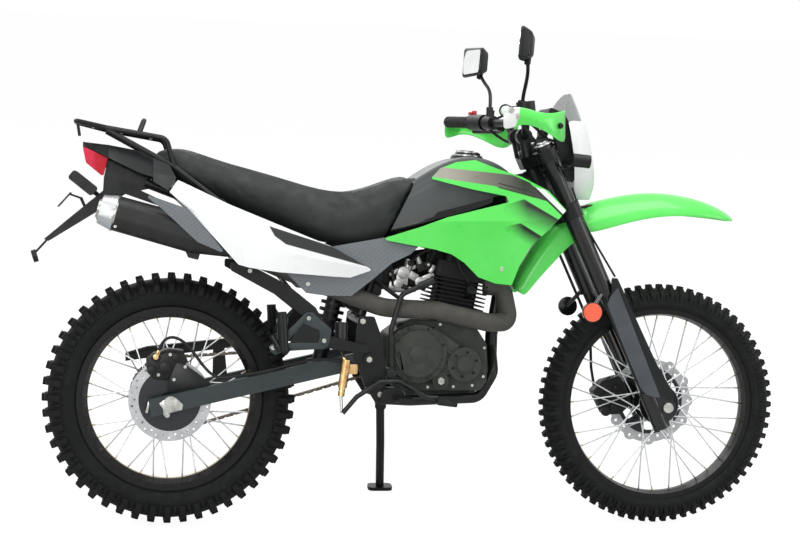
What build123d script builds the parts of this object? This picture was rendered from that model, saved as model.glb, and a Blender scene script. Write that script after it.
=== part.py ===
from build123d import *
import math
import os

# Dual sport motorcycle, modelled upright and then leaned onto its side stand.
# Upright frame: x forward from the rear axle, y to the rider's left, z up from
# the ground under the tyres. Sizes in millimetres, angles in degrees.

# ------------------------------------------------------------------ stance
WHEELBASE = 1354
LEAN = 9

# ------------------------------------------------------------------ wheels
REAR_TYRE_RADIUS = 338.5
FRONT_TYRE_RADIUS = 334
CROWN_HALF = 20
REAR_KNOBS = 44
FRONT_KNOBS = 60
REAR_BLOCK_SHARE = 0.56
FRONT_BLOCK_SHARE = 0.56
REAR_RIM_RADIUS = 247
FRONT_RIM_RADIUS = 266
SPOKES = 36
SPOKE_DIAMETER = 4
SPOKE_SWEEP = 48
HUB_FLANGE_RADIUS = 56
HUB_BARREL_RADIUS = 24
REAR_BARREL_HALF = 66
FRONT_BARREL_HALF = 66
AXLE_DIAMETER = 20
DISC_THICKNESS = 4
REAR_DISC_RADIUS = 110
FRONT_DISC_RADIUS = 126
REAR_DISC_Y = -62
FRONT_DISC_Y = 60
SPROCKET_RADIUS = 101
CHAIN_Y = 78
CHAIN_WIDTH = 15
CHAIN_PITCH = 12.7
DRIVE_SPROCKET_RADIUS = 34
DRIVE_X = 602
DRIVE_Z = 452

# ------------------------------------------------------------------ steering
RAKE = 25
AXLE_LEAD = 31
CLAMP_OFFSET = 35
LEG_Y = 95
STANCHION_DIAMETER = 38
OUTER_TUBE_DIAMETER = 50
UPPER_TUBE_DIAMETER = 43
HEAD_LOW = 632
HEAD_HIGH = 745
STEM_DIAMETER = 30
HEAD_OUTER = 52
BAR_DIAMETER = 22
GRIP_DIAMETER = 33
BAR_END_Y = 412

# ------------------------------------------------------------------ frame and arms
FRAME_TUBE = 34
CRADLE_TUBE = 28
RAIL_TUBE = 24
PIVOT_X = 523
PIVOT_Z = 459
PIVOT_BOLT = 16
PIVOT_HEAD_Y = 140
ARM_INNER_Y = 92
ARM_OUTER_Y = 118
ARM_DEPTH = 45
PLATE_INNER_Y = 121
PLATE_OUTER_Y = 127
RACK_TUBE = 14
FIT = 0.3
PANEL_WALL = 3
HEAD_BORE = STEM_DIAMETER + 2 * FIT

REAR_AXLE = (0, 0, REAR_TYRE_RADIUS)
FRONT_AXLE = (WHEELBASE, 0, FRONT_TYRE_RADIUS)

# Steering frame: x forward of the steering axis, z up along it, zero level with the front axle.
rake_sin = math.sin(math.radians(RAKE))
rake_cos = math.cos(math.radians(RAKE))
axis_to_axle = AXLE_LEAD + CLAMP_OFFSET
STEER = Plane(
    origin=(WHEELBASE - axis_to_axle * rake_cos, 0, FRONT_TYRE_RADIUS - axis_to_axle * rake_sin),
    x_dir=(rake_cos, 0, rake_sin),
    z_dir=(-rake_sin, 0, rake_cos),
)

# The machine turns about the ground line until it leans, then rises so that the
# outer edge of each tyre's crown, not its middle, stands on the ground.
lean_lift = CROWN_HALF * math.sin(math.radians(LEAN))
PARKED = Location((0, 0, lean_lift), (-LEAN, 0, 0))
GROUND = Plane(
    origin=(0, -lean_lift * math.sin(math.radians(LEAN)), -lean_lift * math.cos(math.radians(LEAN))),
    x_dir=(1, 0, 0),
    z_dir=(0, -math.sin(math.radians(LEAN)), math.cos(math.radians(LEAN))),
)

finished = {}


def keep(piece, name):
    """Name a finished piece and hold it until the whole machine is leaned and written."""
    piece.part.label = name
    finished[name] = piece.part


def steer_point(forward, across, up):
    """A point given in the steering frame, as a point of the upright frame."""
    return tuple(STEER.from_local_coords((forward, across, up)))


def cut_with(*pieces):
    """Hollow the open part where finished neighbours pass through it."""
    for piece in pieces:
        add(piece.part, mode=Mode.SUBTRACT)


def both_sides(points):
    """The same route on the right and on the left of the machine."""
    return [[(x, side * y, z) for x, y, z in points] for side in (-1, 1)]


def tube(points, diameter, bend=30):
    """A round tube of straight runs and tangent bends, added to the open part."""
    with BuildLine() as run:
        if len(points) == 2:
            Line(*points)
        else:
            FilletPolyline(*points, radius=bend)
    with BuildSketch(Plane(run.line @ 0, z_dir=run.line % 0)) as ring:
        Circle(diameter / 2)
    sweep(ring.sketch, path=run.line)


def rod(start, end, diameter, mode=Mode.ADD):
    """A straight round bar from one point to another, added to or cut from the open part."""
    reach = Vector(*end) - Vector(*start)
    with BuildSketch(Plane(start, z_dir=reach)) as ring:
        Circle(diameter / 2)
    extrude(ring.sketch, amount=reach.length, mode=mode)


def cross_drum(x, z, y_from, y_to, diameter, mode=Mode.ADD):
    """A round boss or bore that runs across the machine."""
    rod((x, y_from, z), (x, y_to, z), diameter, mode)


def slab(outline, y_from, y_to, corner=0, mode=Mode.ADD):
    """A flat piece: a side outline of (x, z) points, filled from one y to a larger one."""
    with BuildSketch(Plane.XZ.offset(-y_to)) as side:
        Polygon(*outline, align=None)
        if corner:
            fillet(side.vertices(), corner)
    extrude(side.sketch, amount=y_to - y_from, mode=mode)


def steer_slab(outline, y_from, y_to, corner=0, mode=Mode.ADD):
    """A flat piece of the steered front, its outline in (forward, up) points."""
    plane = Plane(steer_point(0, y_to, 0), x_dir=STEER.x_dir, z_dir=(0, -1, 0))
    with BuildSketch(plane) as side:
        Polygon(*outline, align=None)
        if corner:
            fillet(side.vertices(), corner)
    extrude(side.sketch, amount=y_to - y_from, mode=mode)


def shell_panel(side, stations, wall, outline, corner=0):
    """A thin side panel, lofted through its stations and trimmed to its side outline.

    Each station is x, then (y, z) at the lower edge, the crease and the upper edge.
    """
    strips = []
    for x, low, crease, top in stations:
        outer = [(side * y, z) for y, z in (low, crease, top)]
        inner = [(side * (y - wall), z) for y, z in (top, crease, low)]
        with BuildSketch(Plane.YZ.offset(x)) as strip:
            Polygon(*outer, *inner, align=None)
        strips.append(strip.sketch)
    loft(strips, ruled=len(strips) == 2)
    reach = max(max(low[0], crease[0], top[0]) for x, low, crease, top in stations) + wall
    slab(outline, -reach, reach, corner, mode=Mode.INTERSECT)


def arch_strip(plane, rows, wall):
    """A channel-shaped skin, even about the machine's middle, lofted from its rows.

    Each row is its place along the plane's normal, the half width, then the skin's
    reach at its edge, at its shoulder and at its crown.
    """
    strips = []
    for place, half, edge, shoulder, crown in rows:
        outer = [(half, edge), (half * 0.86, shoulder), (half * 0.4, crown)]
        inner = [(half - wall, edge), (half * 0.86 - wall, shoulder - wall), (half * 0.4 - 1, crown - wall)]
        loop = outer + [(-y, z) for y, z in reversed(outer)]
        loop += [(-y, z) for y, z in inner] + inner[::-1]
        with BuildSketch(plane.offset(place)) as strip:
            Polygon(*loop, align=None)
        strips.append(strip.sketch)
    loft(strips, ruled=True)


# ================================================================== wheels
# Carcass half profiles, from crown to bead: (half width, radius).
REAR_CARCASS = [(20, 320), (38, 309), (50, 291), (53, 270), (46, 250), (34, 248), (34, 234)]
FRONT_CARCASS = [(16, 317), (29, 309), (40, 294), (43, 280), (38, 268), (28, 266.5), (28, 256)]
# Tread block profiles, sunk a little into the carcass: (half width, radius).
REAR_MIDDLE = [(-CROWN_HALF, 316), (CROWN_HALF, 316), (CROWN_HALF, REAR_TYRE_RADIUS)]
REAR_MIDDLE += [(-CROWN_HALF, REAR_TYRE_RADIUS)]
REAR_SIDE = [(26, 311), (26, 336), (38, 331), (55, 309), (56, 292), (46, 290), (34, 306)]
FRONT_MIDDLE = [(-CROWN_HALF, 310), (CROWN_HALF, 310), (CROWN_HALF, FRONT_TYRE_RADIUS)]
FRONT_MIDDLE += [(-CROWN_HALF, FRONT_TYRE_RADIUS)]
FRONT_SIDE = [(24, 306), (24, 332), (31, 328), (44, 310), (45, 296), (36, 294)]


def spun_section(half_profile):
    """Turn a half profile, mirrored about the wheel's middle plane, around the axle."""
    points = [(radius, half) for half, radius in half_profile]
    mirrored = [(radius, -half) for half, radius in reversed(half_profile)]
    with BuildSketch(Plane.XY) as section:
        Polygon(*points, *mirrored, align=None)
    return section.sketch


def tread_blocks(profile, knobs, phase, arc):
    """One ring of tread blocks: a (half width, radius) profile turned a little way, repeated."""
    with BuildSketch(Plane.XY) as section:
        Polygon(*[(radius, half) for half, radius in profile], align=None)
    with BuildPart() as block:
        revolve(section.sketch, axis=Axis.Y, revolution_arc=arc)
    turns = [360 * (number + phase) / knobs - arc / 2 for number in range(knobs)]
    return [block.part.rotate(Axis.Y, turn) for turn in turns]


def knobby_tyre(carcass, middle_block, side_block, knobs, block_share):
    """A tyre standing at the origin with its axle along y."""
    arc = block_share * 360 / knobs
    other_side = [(-half, radius) for half, radius in side_block]
    blocks = tread_blocks(middle_block, knobs, 0, arc)
    blocks += tread_blocks(side_block, knobs, 0.5, arc)
    blocks += tread_blocks(other_side, knobs, 0.5, arc)
    with BuildPart() as tyre:
        revolve(spun_section([(0, carcass[0][1]), *carcass, (0, carcass[-1][1])]), axis=Axis.Y)
        add(blocks)
    return tyre.part


def spoked_wheel(rim_radius, rim_half, bed_radius, inner_radius, flange_half, barrel_half):
    """Rim, laced spokes and hub of one wheel, at the origin with the axle along y."""
    rim_profile = [(0, bed_radius), (rim_half - 5, bed_radius), (rim_half - 5, rim_radius)]
    rim_profile += [(rim_half, rim_radius), (rim_half, bed_radius - 4), (10, inner_radius),
                    (0, inner_radius)]
    bore = AXLE_DIAMETER / 2 + FIT
    hub_profile = [(0, 26), (flange_half - 8, 26), (flange_half - 8, HUB_FLANGE_RADIUS)]
    hub_profile += [(flange_half, HUB_FLANGE_RADIUS), (flange_half, HUB_BARREL_RADIUS)]
    hub_profile += [(barrel_half, HUB_BARREL_RADIUS), (barrel_half, bore), (0, bore)]
    hub_hold = HUB_FLANGE_RADIUS - 8
    rim_hold = inner_radius + 5
    with BuildPart() as laced:
        for number in range(SPOKES):
            side = 1 if number % 2 else -1
            lean_round = SPOKE_SWEEP if number % 4 < 2 else -SPOKE_SWEEP
            at_rim = math.radians(number * 360 / SPOKES)
            at_hub = at_rim + math.radians(lean_round)
            start = (hub_hold * math.cos(at_hub), side * (flange_half - 4), hub_hold * math.sin(at_hub))
            end = (rim_hold * math.cos(at_rim), side * 5, rim_hold * math.sin(at_rim))
            rod(start, end, SPOKE_DIAMETER)
    with BuildPart() as wheel:
        for profile in (rim_profile, hub_profile):
            revolve(spun_section(profile), axis=Axis.Y)
        add(laced.part)
    return wheel.part


def placed(shape, centre):
    """Hold a shape made at the origin at its place in the upright frame."""
    with BuildPart() as holder:
        add(shape.moved(Location(centre)))
    return holder


rear_tyre = placed(
    knobby_tyre(REAR_CARCASS, REAR_MIDDLE, REAR_SIDE, REAR_KNOBS, REAR_BLOCK_SHARE), REAR_AXLE
)
keep(rear_tyre, "rear_tyre")

front_tyre = placed(
    knobby_tyre(FRONT_CARCASS, FRONT_MIDDLE, FRONT_SIDE, FRONT_KNOBS, FRONT_BLOCK_SHARE), FRONT_AXLE
)
keep(front_tyre, "front_tyre")

rear_wheel = placed(spoked_wheel(REAR_RIM_RADIUS, 39.3, 233.7, 217, 40, REAR_BARREL_HALF), REAR_AXLE)
keep(rear_wheel, "rear_wheel")

front_wheel = placed(spoked_wheel(FRONT_RIM_RADIUS, 33.3, 255.7, 246, 36, FRONT_BARREL_HALF), FRONT_AXLE)
keep(front_wheel, "front_wheel")

with BuildPart() as rear_disc:
    with BuildSketch(Plane((0, REAR_DISC_Y + DISC_THICKNESS / 2, REAR_TYRE_RADIUS), z_dir=(0, -1, 0))):
        Circle(REAR_DISC_RADIUS)
        Circle(HUB_BARREL_RADIUS + FIT, mode=Mode.SUBTRACT)
        for radius, holes, phase in ((101, 18, 0), (93, 18, 10)):
            with PolarLocations(radius, holes, start_angle=phase):
                Circle(3, mode=Mode.SUBTRACT)
    extrude(amount=DISC_THICKNESS)
keep(rear_disc, "rear_disc")

with BuildPart() as front_disc:
    with BuildSketch(Plane((WHEELBASE, FRONT_DISC_Y + DISC_THICKNESS / 2, FRONT_TYRE_RADIUS),
                           z_dir=(0, -1, 0))):
        Circle(FRONT_DISC_RADIUS - 8)
        with PolarLocations(FRONT_DISC_RADIUS - 16, 12):
            Circle(16)
        Circle(HUB_BARREL_RADIUS + FIT, mode=Mode.SUBTRACT)
        for radius, holes, phase in ((112, 12, 0), (103, 12, 15)):
            with PolarLocations(radius, holes, start_angle=phase):
                Circle(4, mode=Mode.SUBTRACT)
        with PolarLocations(66, 6):
            RectangleRounded(34, 30, 8, mode=Mode.SUBTRACT)
    extrude(amount=DISC_THICKNESS)
keep(front_disc, "front_disc")

SPROCKET_THICKNESS = 6
CHAIN_HALF_DEPTH = 5
CHAIN_RUN_GAP = 1
CARRIER_RADIUS = 52
CHAIN_PLATE_DEPTH = 3
sprocket_reach = SPROCKET_RADIUS - CHAIN_PLATE_DEPTH - CHAIN_RUN_GAP
with BuildPart() as rear_sprocket:
    with BuildSketch(Plane((0, CHAIN_Y + SPROCKET_THICKNESS / 2, REAR_TYRE_RADIUS), z_dir=(0, -1, 0))):
        Circle(sprocket_reach)
        Circle(AXLE_DIAMETER / 2 + 1, mode=Mode.SUBTRACT)
        with PolarLocations(72, 6):
            Circle(13, mode=Mode.SUBTRACT)
    extrude(amount=SPROCKET_THICKNESS)
    carrier_outer = CHAIN_Y - SPROCKET_THICKNESS / 2
    cross_drum(0, REAR_TYRE_RADIUS, 40 + FIT, carrier_outer, 2 * CARRIER_RADIUS)
    cross_drum(0, REAR_TYRE_RADIUS, 40, carrier_outer, 2 * (HUB_BARREL_RADIUS + FIT), Mode.SUBTRACT)
keep(rear_sprocket, "rear_sprocket")


def belt_outline(grow):
    """The line round both sprockets, grown outward, drawn flat as x and z."""
    with BuildSketch() as belt:
        for x, z, radius in ((0, REAR_TYRE_RADIUS, SPROCKET_RADIUS),
                             (DRIVE_X, DRIVE_Z, DRIVE_SPROCKET_RADIUS)):
            with Locations((x, z)):
                Circle(radius + grow)
        make_hull()
    return belt.sketch


pitch_line = belt_outline(0).face().outer_wire()
link_pairs = round(pitch_line.length / CHAIN_PITCH / 2)
with BuildPart() as chain:
    with BuildSketch(Plane.XZ.offset(-CHAIN_Y - CHAIN_WIDTH / 2)) as run:
        add(belt_outline(CHAIN_PLATE_DEPTH))
        for number in range(link_pairs):
            spot = pitch_line @ (number / link_pairs)
            heading = pitch_line % (number / link_pairs)
            turn = math.degrees(math.atan2(heading.Y, heading.X))
            with Locations(Location((spot.X, spot.Y), turn)):
                Rectangle(1.5 * CHAIN_PITCH, 2 * CHAIN_HALF_DEPTH)
        add(belt_outline(-CHAIN_PLATE_DEPTH), mode=Mode.SUBTRACT)
    extrude(run.sketch, amount=CHAIN_WIDTH)
keep(chain, "chain")

# ================================================================== frame
# Side stand: its foot on the ground, its pivot under the left footrest, and the way it folds back.
STAND_PIVOT = (596, 150, 318)
STAND_FOOT_X = 622
STAND_REACH = 306
STAND_HUB = 26
STAND_HUB_DIAMETER = 32
STAND_PIN = 10
STAND_LUG = 14
STAND_BRACE = 16
foot_on_ground = GROUND.from_local_coords((STAND_FOOT_X, STAND_REACH, 0))
stand_down = (foot_on_ground - Vector(*STAND_PIVOT)).normalized()
stand_folded = Vector(-1, 0.05, 0.05).normalized()
stand_axis = stand_down.cross(stand_folded).normalized()


def stand_spot(along):
    """A point on the side stand's pivot line, measured outward from the middle of its hub."""
    return tuple(Vector(*STAND_PIVOT) + stand_axis * along)


HEAD_HALF_GAP = 3
with BuildPart() as main_frame:
    head_axis = [steer_point(0, 0, HEAD_LOW + HEAD_HALF_GAP), steer_point(0, 0, HEAD_HIGH - HEAD_HALF_GAP)]
    rod(*head_axis, HEAD_OUTER)
    tube([steer_point(0, 0, 715), (760, 0, 905), (600, 0, 800), (560, 0, 700)], 40, 90)
    tube([steer_point(-8, 0, 668), (905, 0, 690), (880, 0, 520), (880, 0, 470)], FRAME_TUBE, 80)
    for route in both_sides([(880, 0, 490), (876, 62, 420), (835, 70, 352), (640, 100, 346),
                             (560, 124, 352)]):
        tube(route, CRADLE_TUBE, 38)
    for route in both_sides([(600, 0, 790), (560, 40, 745), (536, 52, 670), (505, 52, 560)]):
        tube(route, CRADLE_TUBE, 30)
    for y_from, y_to in ((-PLATE_OUTER_Y, -PLATE_INNER_Y), (PLATE_INNER_Y, PLATE_OUTER_Y)):
        slab([(545, 340), (574, 340), (570, 420), (556, 520), (536, 573), (494, 574), (482, 470),
              (512, 390)],
             y_from, y_to, 8)
    cross_drum(505, 560, -PLATE_OUTER_Y, PLATE_OUTER_Y, 26)
    cross_drum(556, 365, -PLATE_OUTER_Y, PLATE_OUTER_Y, 26)
    rod(*[steer_point(0, 0, HEAD_LOW - 5), steer_point(0, 0, HEAD_HIGH + 5)], HEAD_BORE, Mode.SUBTRACT)
    cross_drum(PIVOT_X, PIVOT_Z, -PLATE_OUTER_Y, PLATE_OUTER_Y, PIVOT_BOLT)
    for y_from, y_to in ((-PIVOT_HEAD_Y, -PLATE_OUTER_Y), (PLATE_OUTER_Y, PIVOT_HEAD_Y)):
        cross_drum(PIVOT_X, PIVOT_Z, y_from, y_to, 30)
    # side stand's lug, pin and pin head
    lug_face = -STAND_HUB / 2 - FIT
    rod(stand_spot(lug_face - STAND_LUG), stand_spot(lug_face), STAND_HUB_DIAMETER)
    rod(stand_spot(lug_face - STAND_LUG), (566, 122, 350), STAND_BRACE)
    rod(stand_spot(lug_face), stand_spot(STAND_HUB / 2 + 6), STAND_PIN)
    rod(stand_spot(STAND_HUB / 2 + FIT), stand_spot(STAND_HUB / 2 + 6), 20)
keep(main_frame, "main_frame")

with BuildPart() as rear_subframe:
    for route in both_sides([(544, 52, 706), (420, 74, 728), (145, 84, 836), (-75, 80, 915)]):
        tube(route, RAIL_TUBE, 120)
    for route in both_sides([(508, 52, 580), (330, 74, 690), (60, 80, 846)]):
        tube(route, RAIL_TUBE - 4, 100)
    for x, z in ((-60, 909), (250, 795), (420, 728)):
        cross_drum(x, z, -78, 78, RAIL_TUBE - 6)
    cut_with(main_frame)
keep(rear_subframe, "rear_subframe")

arm_slope = (PIVOT_Z - REAR_TYRE_RADIUS) / PIVOT_X
arm_half = ARM_DEPTH / 2


def arm_z(x):
    """Height of the swingarm's centre line at x."""
    return REAR_TYRE_RADIUS + arm_slope * x


with BuildPart() as swingarm:
    arm_outline = [(-58, arm_z(-58) + arm_half - 4), (PIVOT_X - 20, arm_z(PIVOT_X - 20) + arm_half)]
    arm_outline += [(PIVOT_X - 20, arm_z(PIVOT_X - 20) - arm_half), (-50, arm_z(-50) - arm_half - 6)]
    for y_from, y_to in ((-ARM_OUTER_Y, -ARM_INNER_Y), (ARM_INNER_Y, ARM_OUTER_Y)):
        slab(arm_outline, y_from, y_to, 3)
    for y_from, y_to in ((-ARM_OUTER_Y, -ARM_INNER_Y), (ARM_INNER_Y, ARM_OUTER_Y)):
        cross_drum(PIVOT_X, PIVOT_Z, y_from, y_to, ARM_DEPTH)
    cross_drum(PIVOT_X, PIVOT_Z, -ARM_INNER_Y, 62, 40)
    cross_drum(PIVOT_X, PIVOT_Z, -ARM_OUTER_Y, ARM_OUTER_Y, PIVOT_BOLT + 2 * FIT, Mode.SUBTRACT)
    slab([(372, arm_z(372) - 18), (372, arm_z(372) + 18), (430, arm_z(430) + 18), (430, arm_z(430) - 18)],
         -ARM_INNER_Y, 62, 6)
    slab([(372, arm_z(372) - 8), (372, arm_z(372) + 8), (430, arm_z(430) + 8), (430, arm_z(430) - 8)], 60,
         ARM_INNER_Y)
    cross_drum(0, REAR_TYRE_RADIUS, -ARM_OUTER_Y, ARM_OUTER_Y, AXLE_DIAMETER + 2 * FIT, Mode.SUBTRACT)
keep(swingarm, "swingarm")

with BuildPart() as rear_axle:
    cross_drum(0, REAR_TYRE_RADIUS, -132, 132, AXLE_DIAMETER)
    for y_from, y_to in ((-130, -ARM_OUTER_Y - FIT), (ARM_OUTER_Y + FIT, 130)):
        cross_drum(0, REAR_TYRE_RADIUS, y_from, y_to, 34)
keep(rear_axle, "rear_axle")

# Exhaust, engine and intake
CYLINDER_LEAN = 10
PORT = (846, -44, 656)
HEADER_PIPE = 50
header_route = [PORT, (898, -47, 654), (914, -74, 560), (850, -116, 560), (700, -118, 592),
                (560, -112, 596)]
header_route += [(440, -106, 640), (300, -112, 690), (150, -136, 752)]
with BuildPart() as exhaust_header:
    tube(header_route, HEADER_PIPE, [26, 30, 36, 90, 150, 90, 120])
keep(exhaust_header, "exhaust_header")

CASE_HALF = 92
with BuildPart() as engine_case:
    slab([(606, 374), (836, 374), (852, 400), (850, 500), (812, 556), (640, 566), (578, 520), (578, 400)],
         -CASE_HALF, 60, 16)
    slab([(655, 374), (836, 374), (852, 400), (850, 500), (812, 556), (655, 560)], 58, CASE_HALF, 16)
    slab([(640, 350), (800, 350), (812, 376), (630, 376)], -48, 48)
    # right covers: clutch, web, crank end, oil filler
    cross_drum(656, 475, -128, -CASE_HALF + 2, 156)
    cross_drum(656, 475, -135, -127, 126)
    slab([(700, 545), (768, 500), (768, 430), (700, 402)], -118, -CASE_HALF + 2)
    cross_drum(784, 447, -124, -CASE_HALF + 2, 92)
    cross_drum(784, 447, -130, -123, 44)
    for number in range(6):
        turn = math.radians(60 * number + 18)
        cross_drum(784 + 33 * math.cos(turn), 447 + 33 * math.sin(turn), -130, -118, 9, Mode.SUBTRACT)
    cross_drum(720, 402, -124, -CASE_HALF + 2, 44)
    cross_drum(720, 402, -130, -123, 28)
    # left covers: generator and its plug
    cross_drum(770, 455, CASE_HALF - 2, 122, 150)
    cross_drum(770, 455, 121, 128, 70)
    cut_with(main_frame, exhaust_header)
    # drive sprocket on the output shaft
    drive_reach = DRIVE_SPROCKET_RADIUS - CHAIN_PLATE_DEPTH - FIT
    cross_drum(DRIVE_X, DRIVE_Z, CHAIN_Y - 4, CHAIN_Y + 4, 2 * drive_reach)
    cross_drum(DRIVE_X, DRIVE_Z, 50, CHAIN_Y + 12, 24)
keep(engine_case, "engine_case")

CYLINDER = Plane(
    (757, 0, 552),
    x_dir=(math.cos(math.radians(CYLINDER_LEAN)), 0, -math.sin(math.radians(CYLINDER_LEAN))),
    z_dir=(math.sin(math.radians(CYLINDER_LEAN)), 0, math.cos(math.radians(CYLINDER_LEAN))),
)
FIN_PITCH = 11
FIN_WALL = 3.5
BARREL_FINS = 9
with BuildPart() as cylinder:
    with BuildSketch(CYLINDER) as core:
        RectangleRounded(112, 112, 20)
    extrude(core.sketch, amount=150)
    for number in range(BARREL_FINS):
        with BuildSketch(CYLINDER.offset(26 + number * FIN_PITCH)) as fin:
            RectangleRounded(158, 160, 18)
        extrude(fin.sketch, amount=FIN_WALL)
    with BuildSketch(CYLINDER.offset(122)) as head:
        RectangleRounded(150, 138, 16)
    extrude(head.sketch, amount=44)
    with BuildSketch(CYLINDER.offset(166)) as cover:
        RectangleRounded(112, 118, 24)
    extrude(cover.sketch, amount=22)
    cut_with(engine_case, exhaust_header, main_frame)
keep(cylinder, "cylinder")

with BuildPart() as intake:
    rod((562, -26, 664), (688, -18, 664), 46)
    rod((590, -24, 664), (634, -22, 664), 62)
    rod((612, -60, 652), (612, 16, 672), 22)
    slab([(505, 625), (562, 625), (566, 700), (562, 760), (520, 750), (505, 700)], -60, 60, 8)
    cut_with(cylinder, main_frame, rear_subframe, exhaust_header)
keep(intake, "intake")

SPRING_TURNS = 9
SHOCK_LOW = (404, 0, 440)
SHOCK_HIGH = (462, 0, 700)
shock_line = Vector(*SHOCK_HIGH) - Vector(*SHOCK_LOW)
with BuildPart() as rear_shock:
    rod(SHOCK_LOW, SHOCK_HIGH, 42)
    for number in range(SPRING_TURNS):
        start = Vector(*SHOCK_LOW) + shock_line * (0.22 + 0.075 * number)
        rod(tuple(start), tuple(start + shock_line * 0.035), 68)
    cross_drum(SHOCK_HIGH[0], SHOCK_HIGH[2], -22, 22, 34)
    cross_drum(SHOCK_LOW[0], SHOCK_LOW[2] + 4, -18, 18, 26)
    cut_with(main_frame, rear_subframe, swingarm, intake)
keep(rear_shock, "rear_shock")

MUFFLER_DROP = 14.5
MUFFLER_TAIL = (-168, -140, 838)
drop_sin = math.sin(math.radians(MUFFLER_DROP))
drop_cos = math.cos(math.radians(MUFFLER_DROP))
MUFFLER = Plane(MUFFLER_TAIL, x_dir=(0, 1, 0), z_dir=(drop_cos, 0, -drop_sin))
with BuildPart() as muffler:
    sections = []
    for along, width, height in ((14, 92, 92), (230, 96, 96), (322, 70, 66), (340, 56, 56)):
        with BuildSketch(MUFFLER.offset(along)) as ring:
            RectangleRounded(width, height, min(width, height) * 0.42)
        sections.append(ring.sketch)
    loft(sections, ruled=True)
    with BuildSketch(MUFFLER.offset(-24)) as cap_face:
        RectangleRounded(72, 76, 26)
    with BuildSketch(MUFFLER.offset(15)) as cap_seat:
        RectangleRounded(94, 94, 38)
    loft([cap_face.sketch, cap_seat.sketch], ruled=True)
    with BuildSketch(MUFFLER.offset(-26)) as outlet:
        Circle(20)
    extrude(outlet.sketch, amount=70, mode=Mode.SUBTRACT)
    slab([(26, 748), (70, 738), (64, 716), (38, 722)], -150, -128, 4)
    cut_with(exhaust_header)
keep(muffler, "muffler")

# ================================================================== bodywork
with BuildPart() as fuel_tank:
    sections = []
    for x, half, low, high, corner in (
        (548, 92, 770, 912, 30),
        (640, 110, 778, 942, 44),
        (720, 124, 790, 990, 52),
        (800, 128, 802, 1006, 56),
        (872, 114, 822, 988, 50),
        (934, 74, 850, 940, 30),
    ):
        with BuildSketch(Plane.YZ.offset(x)) as ring:
            with Locations((0, (low + high) / 2)):
                RectangleRounded(2 * half, high - low, corner)
        sections.append(ring.sketch)
    loft(sections)
    slab([(558, 760), (643, 936), (660, 1040), (960, 1040), (960, 760)], -140, 140, mode=Mode.INTERSECT)
    cut_with(cylinder, main_frame, rear_subframe, intake)
keep(fuel_tank, "fuel_tank")

CAP_X = 800
with BuildPart() as tank_cap:
    rod((CAP_X, 0, 990), (CAP_X + 1, 0, 1021), 84)
    rod((CAP_X + 1, 0, 1020), (CAP_X + 1, 0, 1027), 62)
    cut_with(fuel_tank)
keep(tank_cap, "tank_cap")

with BuildPart() as seat:
    sections = []
    for x, half, low, high, corner in (
        (-46, 96, 948, 1000, 22),
        (20, 112, 921, 1003, 32),
        (150, 124, 866, 965, 40),
        (300, 130, 808, 926, 46),
        (440, 126, 762, 899, 46),
        (540, 116, 770, 918, 44),
        (646, 102, 800, 944, 40),
    ):
        with BuildSketch(Plane.YZ.offset(x)) as ring:
            with Locations((0, (low + high) / 2)):
                RectangleRounded(2 * half, high - low, corner)
        sections.append(ring.sketch)
    loft(sections)
    slab([(-60, 900), (420, 740), (550, 740), (557, 770), (641, 938), (645, 1040), (-60, 1040)], -140, 140,
         mode=Mode.INTERSECT)
    cut_with(main_frame, rear_subframe, fuel_tank, intake)
keep(seat, "seat")

# Panel stations: x, then (y, z) of the lower edge, the crease and the upper edge.
SHROUD_STATIONS = (
    (538, (137, 640), (141, 800), (112, 1010)),
    (700, (146, 640), (164, 830), (116, 1010)),
    (850, (152, 640), (176, 835), (120, 1010)),
    (950, (160, 640), (178, 838), (136, 1010)),
    (1052, (162, 640), (172, 840), (148, 1010)),
)
SHROUD_OUTLINE = [(546, 780), (650, 815), (720, 842), (886, 886), (880, 902), (790, 918)]
SHROUD_OUTLINE += [(678, 944), (704, 972), (748, 990), (800, 997), (856, 976), (922, 955)]
SHROUD_OUTLINE += [(994, 919), (1042, 868), (1000, 820), (948, 772), (918, 716), (900, 664)]
SHROUD_OUTLINE += [(856, 668), (810, 684), (770, 722), (735, 744), (690, 756), (640, 764)]
SIDE_STATIONS = (
    (-22, (150, 850), (140, 892), (118, 940)),
    (100, (192, 745), (184, 820), (129, 925)),
    (210, (196, 680), (180, 770), (134, 880)),
    (350, (168, 640), (166, 730), (138, 830)),
    (535, (152, 600), (152, 700), (134, 800)),
)
SIDE_OUTLINE = [(-14, 892), (8, 924), (143, 863), (280, 810), (413, 759), (470, 728), (524, 698)]
SIDE_OUTLINE += [(465, 677), (420, 679), (275, 689), (196, 700), (166, 708), (92, 788), (32, 852)]
COVER_STATIONS = (
    (270, (146, 610), (146, 690), (132, 800)),
    (660, (146, 610), (146, 700), (128, 800)),
)
COVER_OUTLINE = [(296, 686), (275, 689), (413, 757), (555, 784), (600, 778), (652, 765)]
COVER_OUTLINE += [(628, 742), (576, 716), (520, 668), (470, 628), (400, 628), (350, 634)]
SHIELD_OUTLINE = [(-86, 888), (-50, 877), (32, 850), (90, 788), (134, 734), (60, 764), (-30, 845)]
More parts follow.
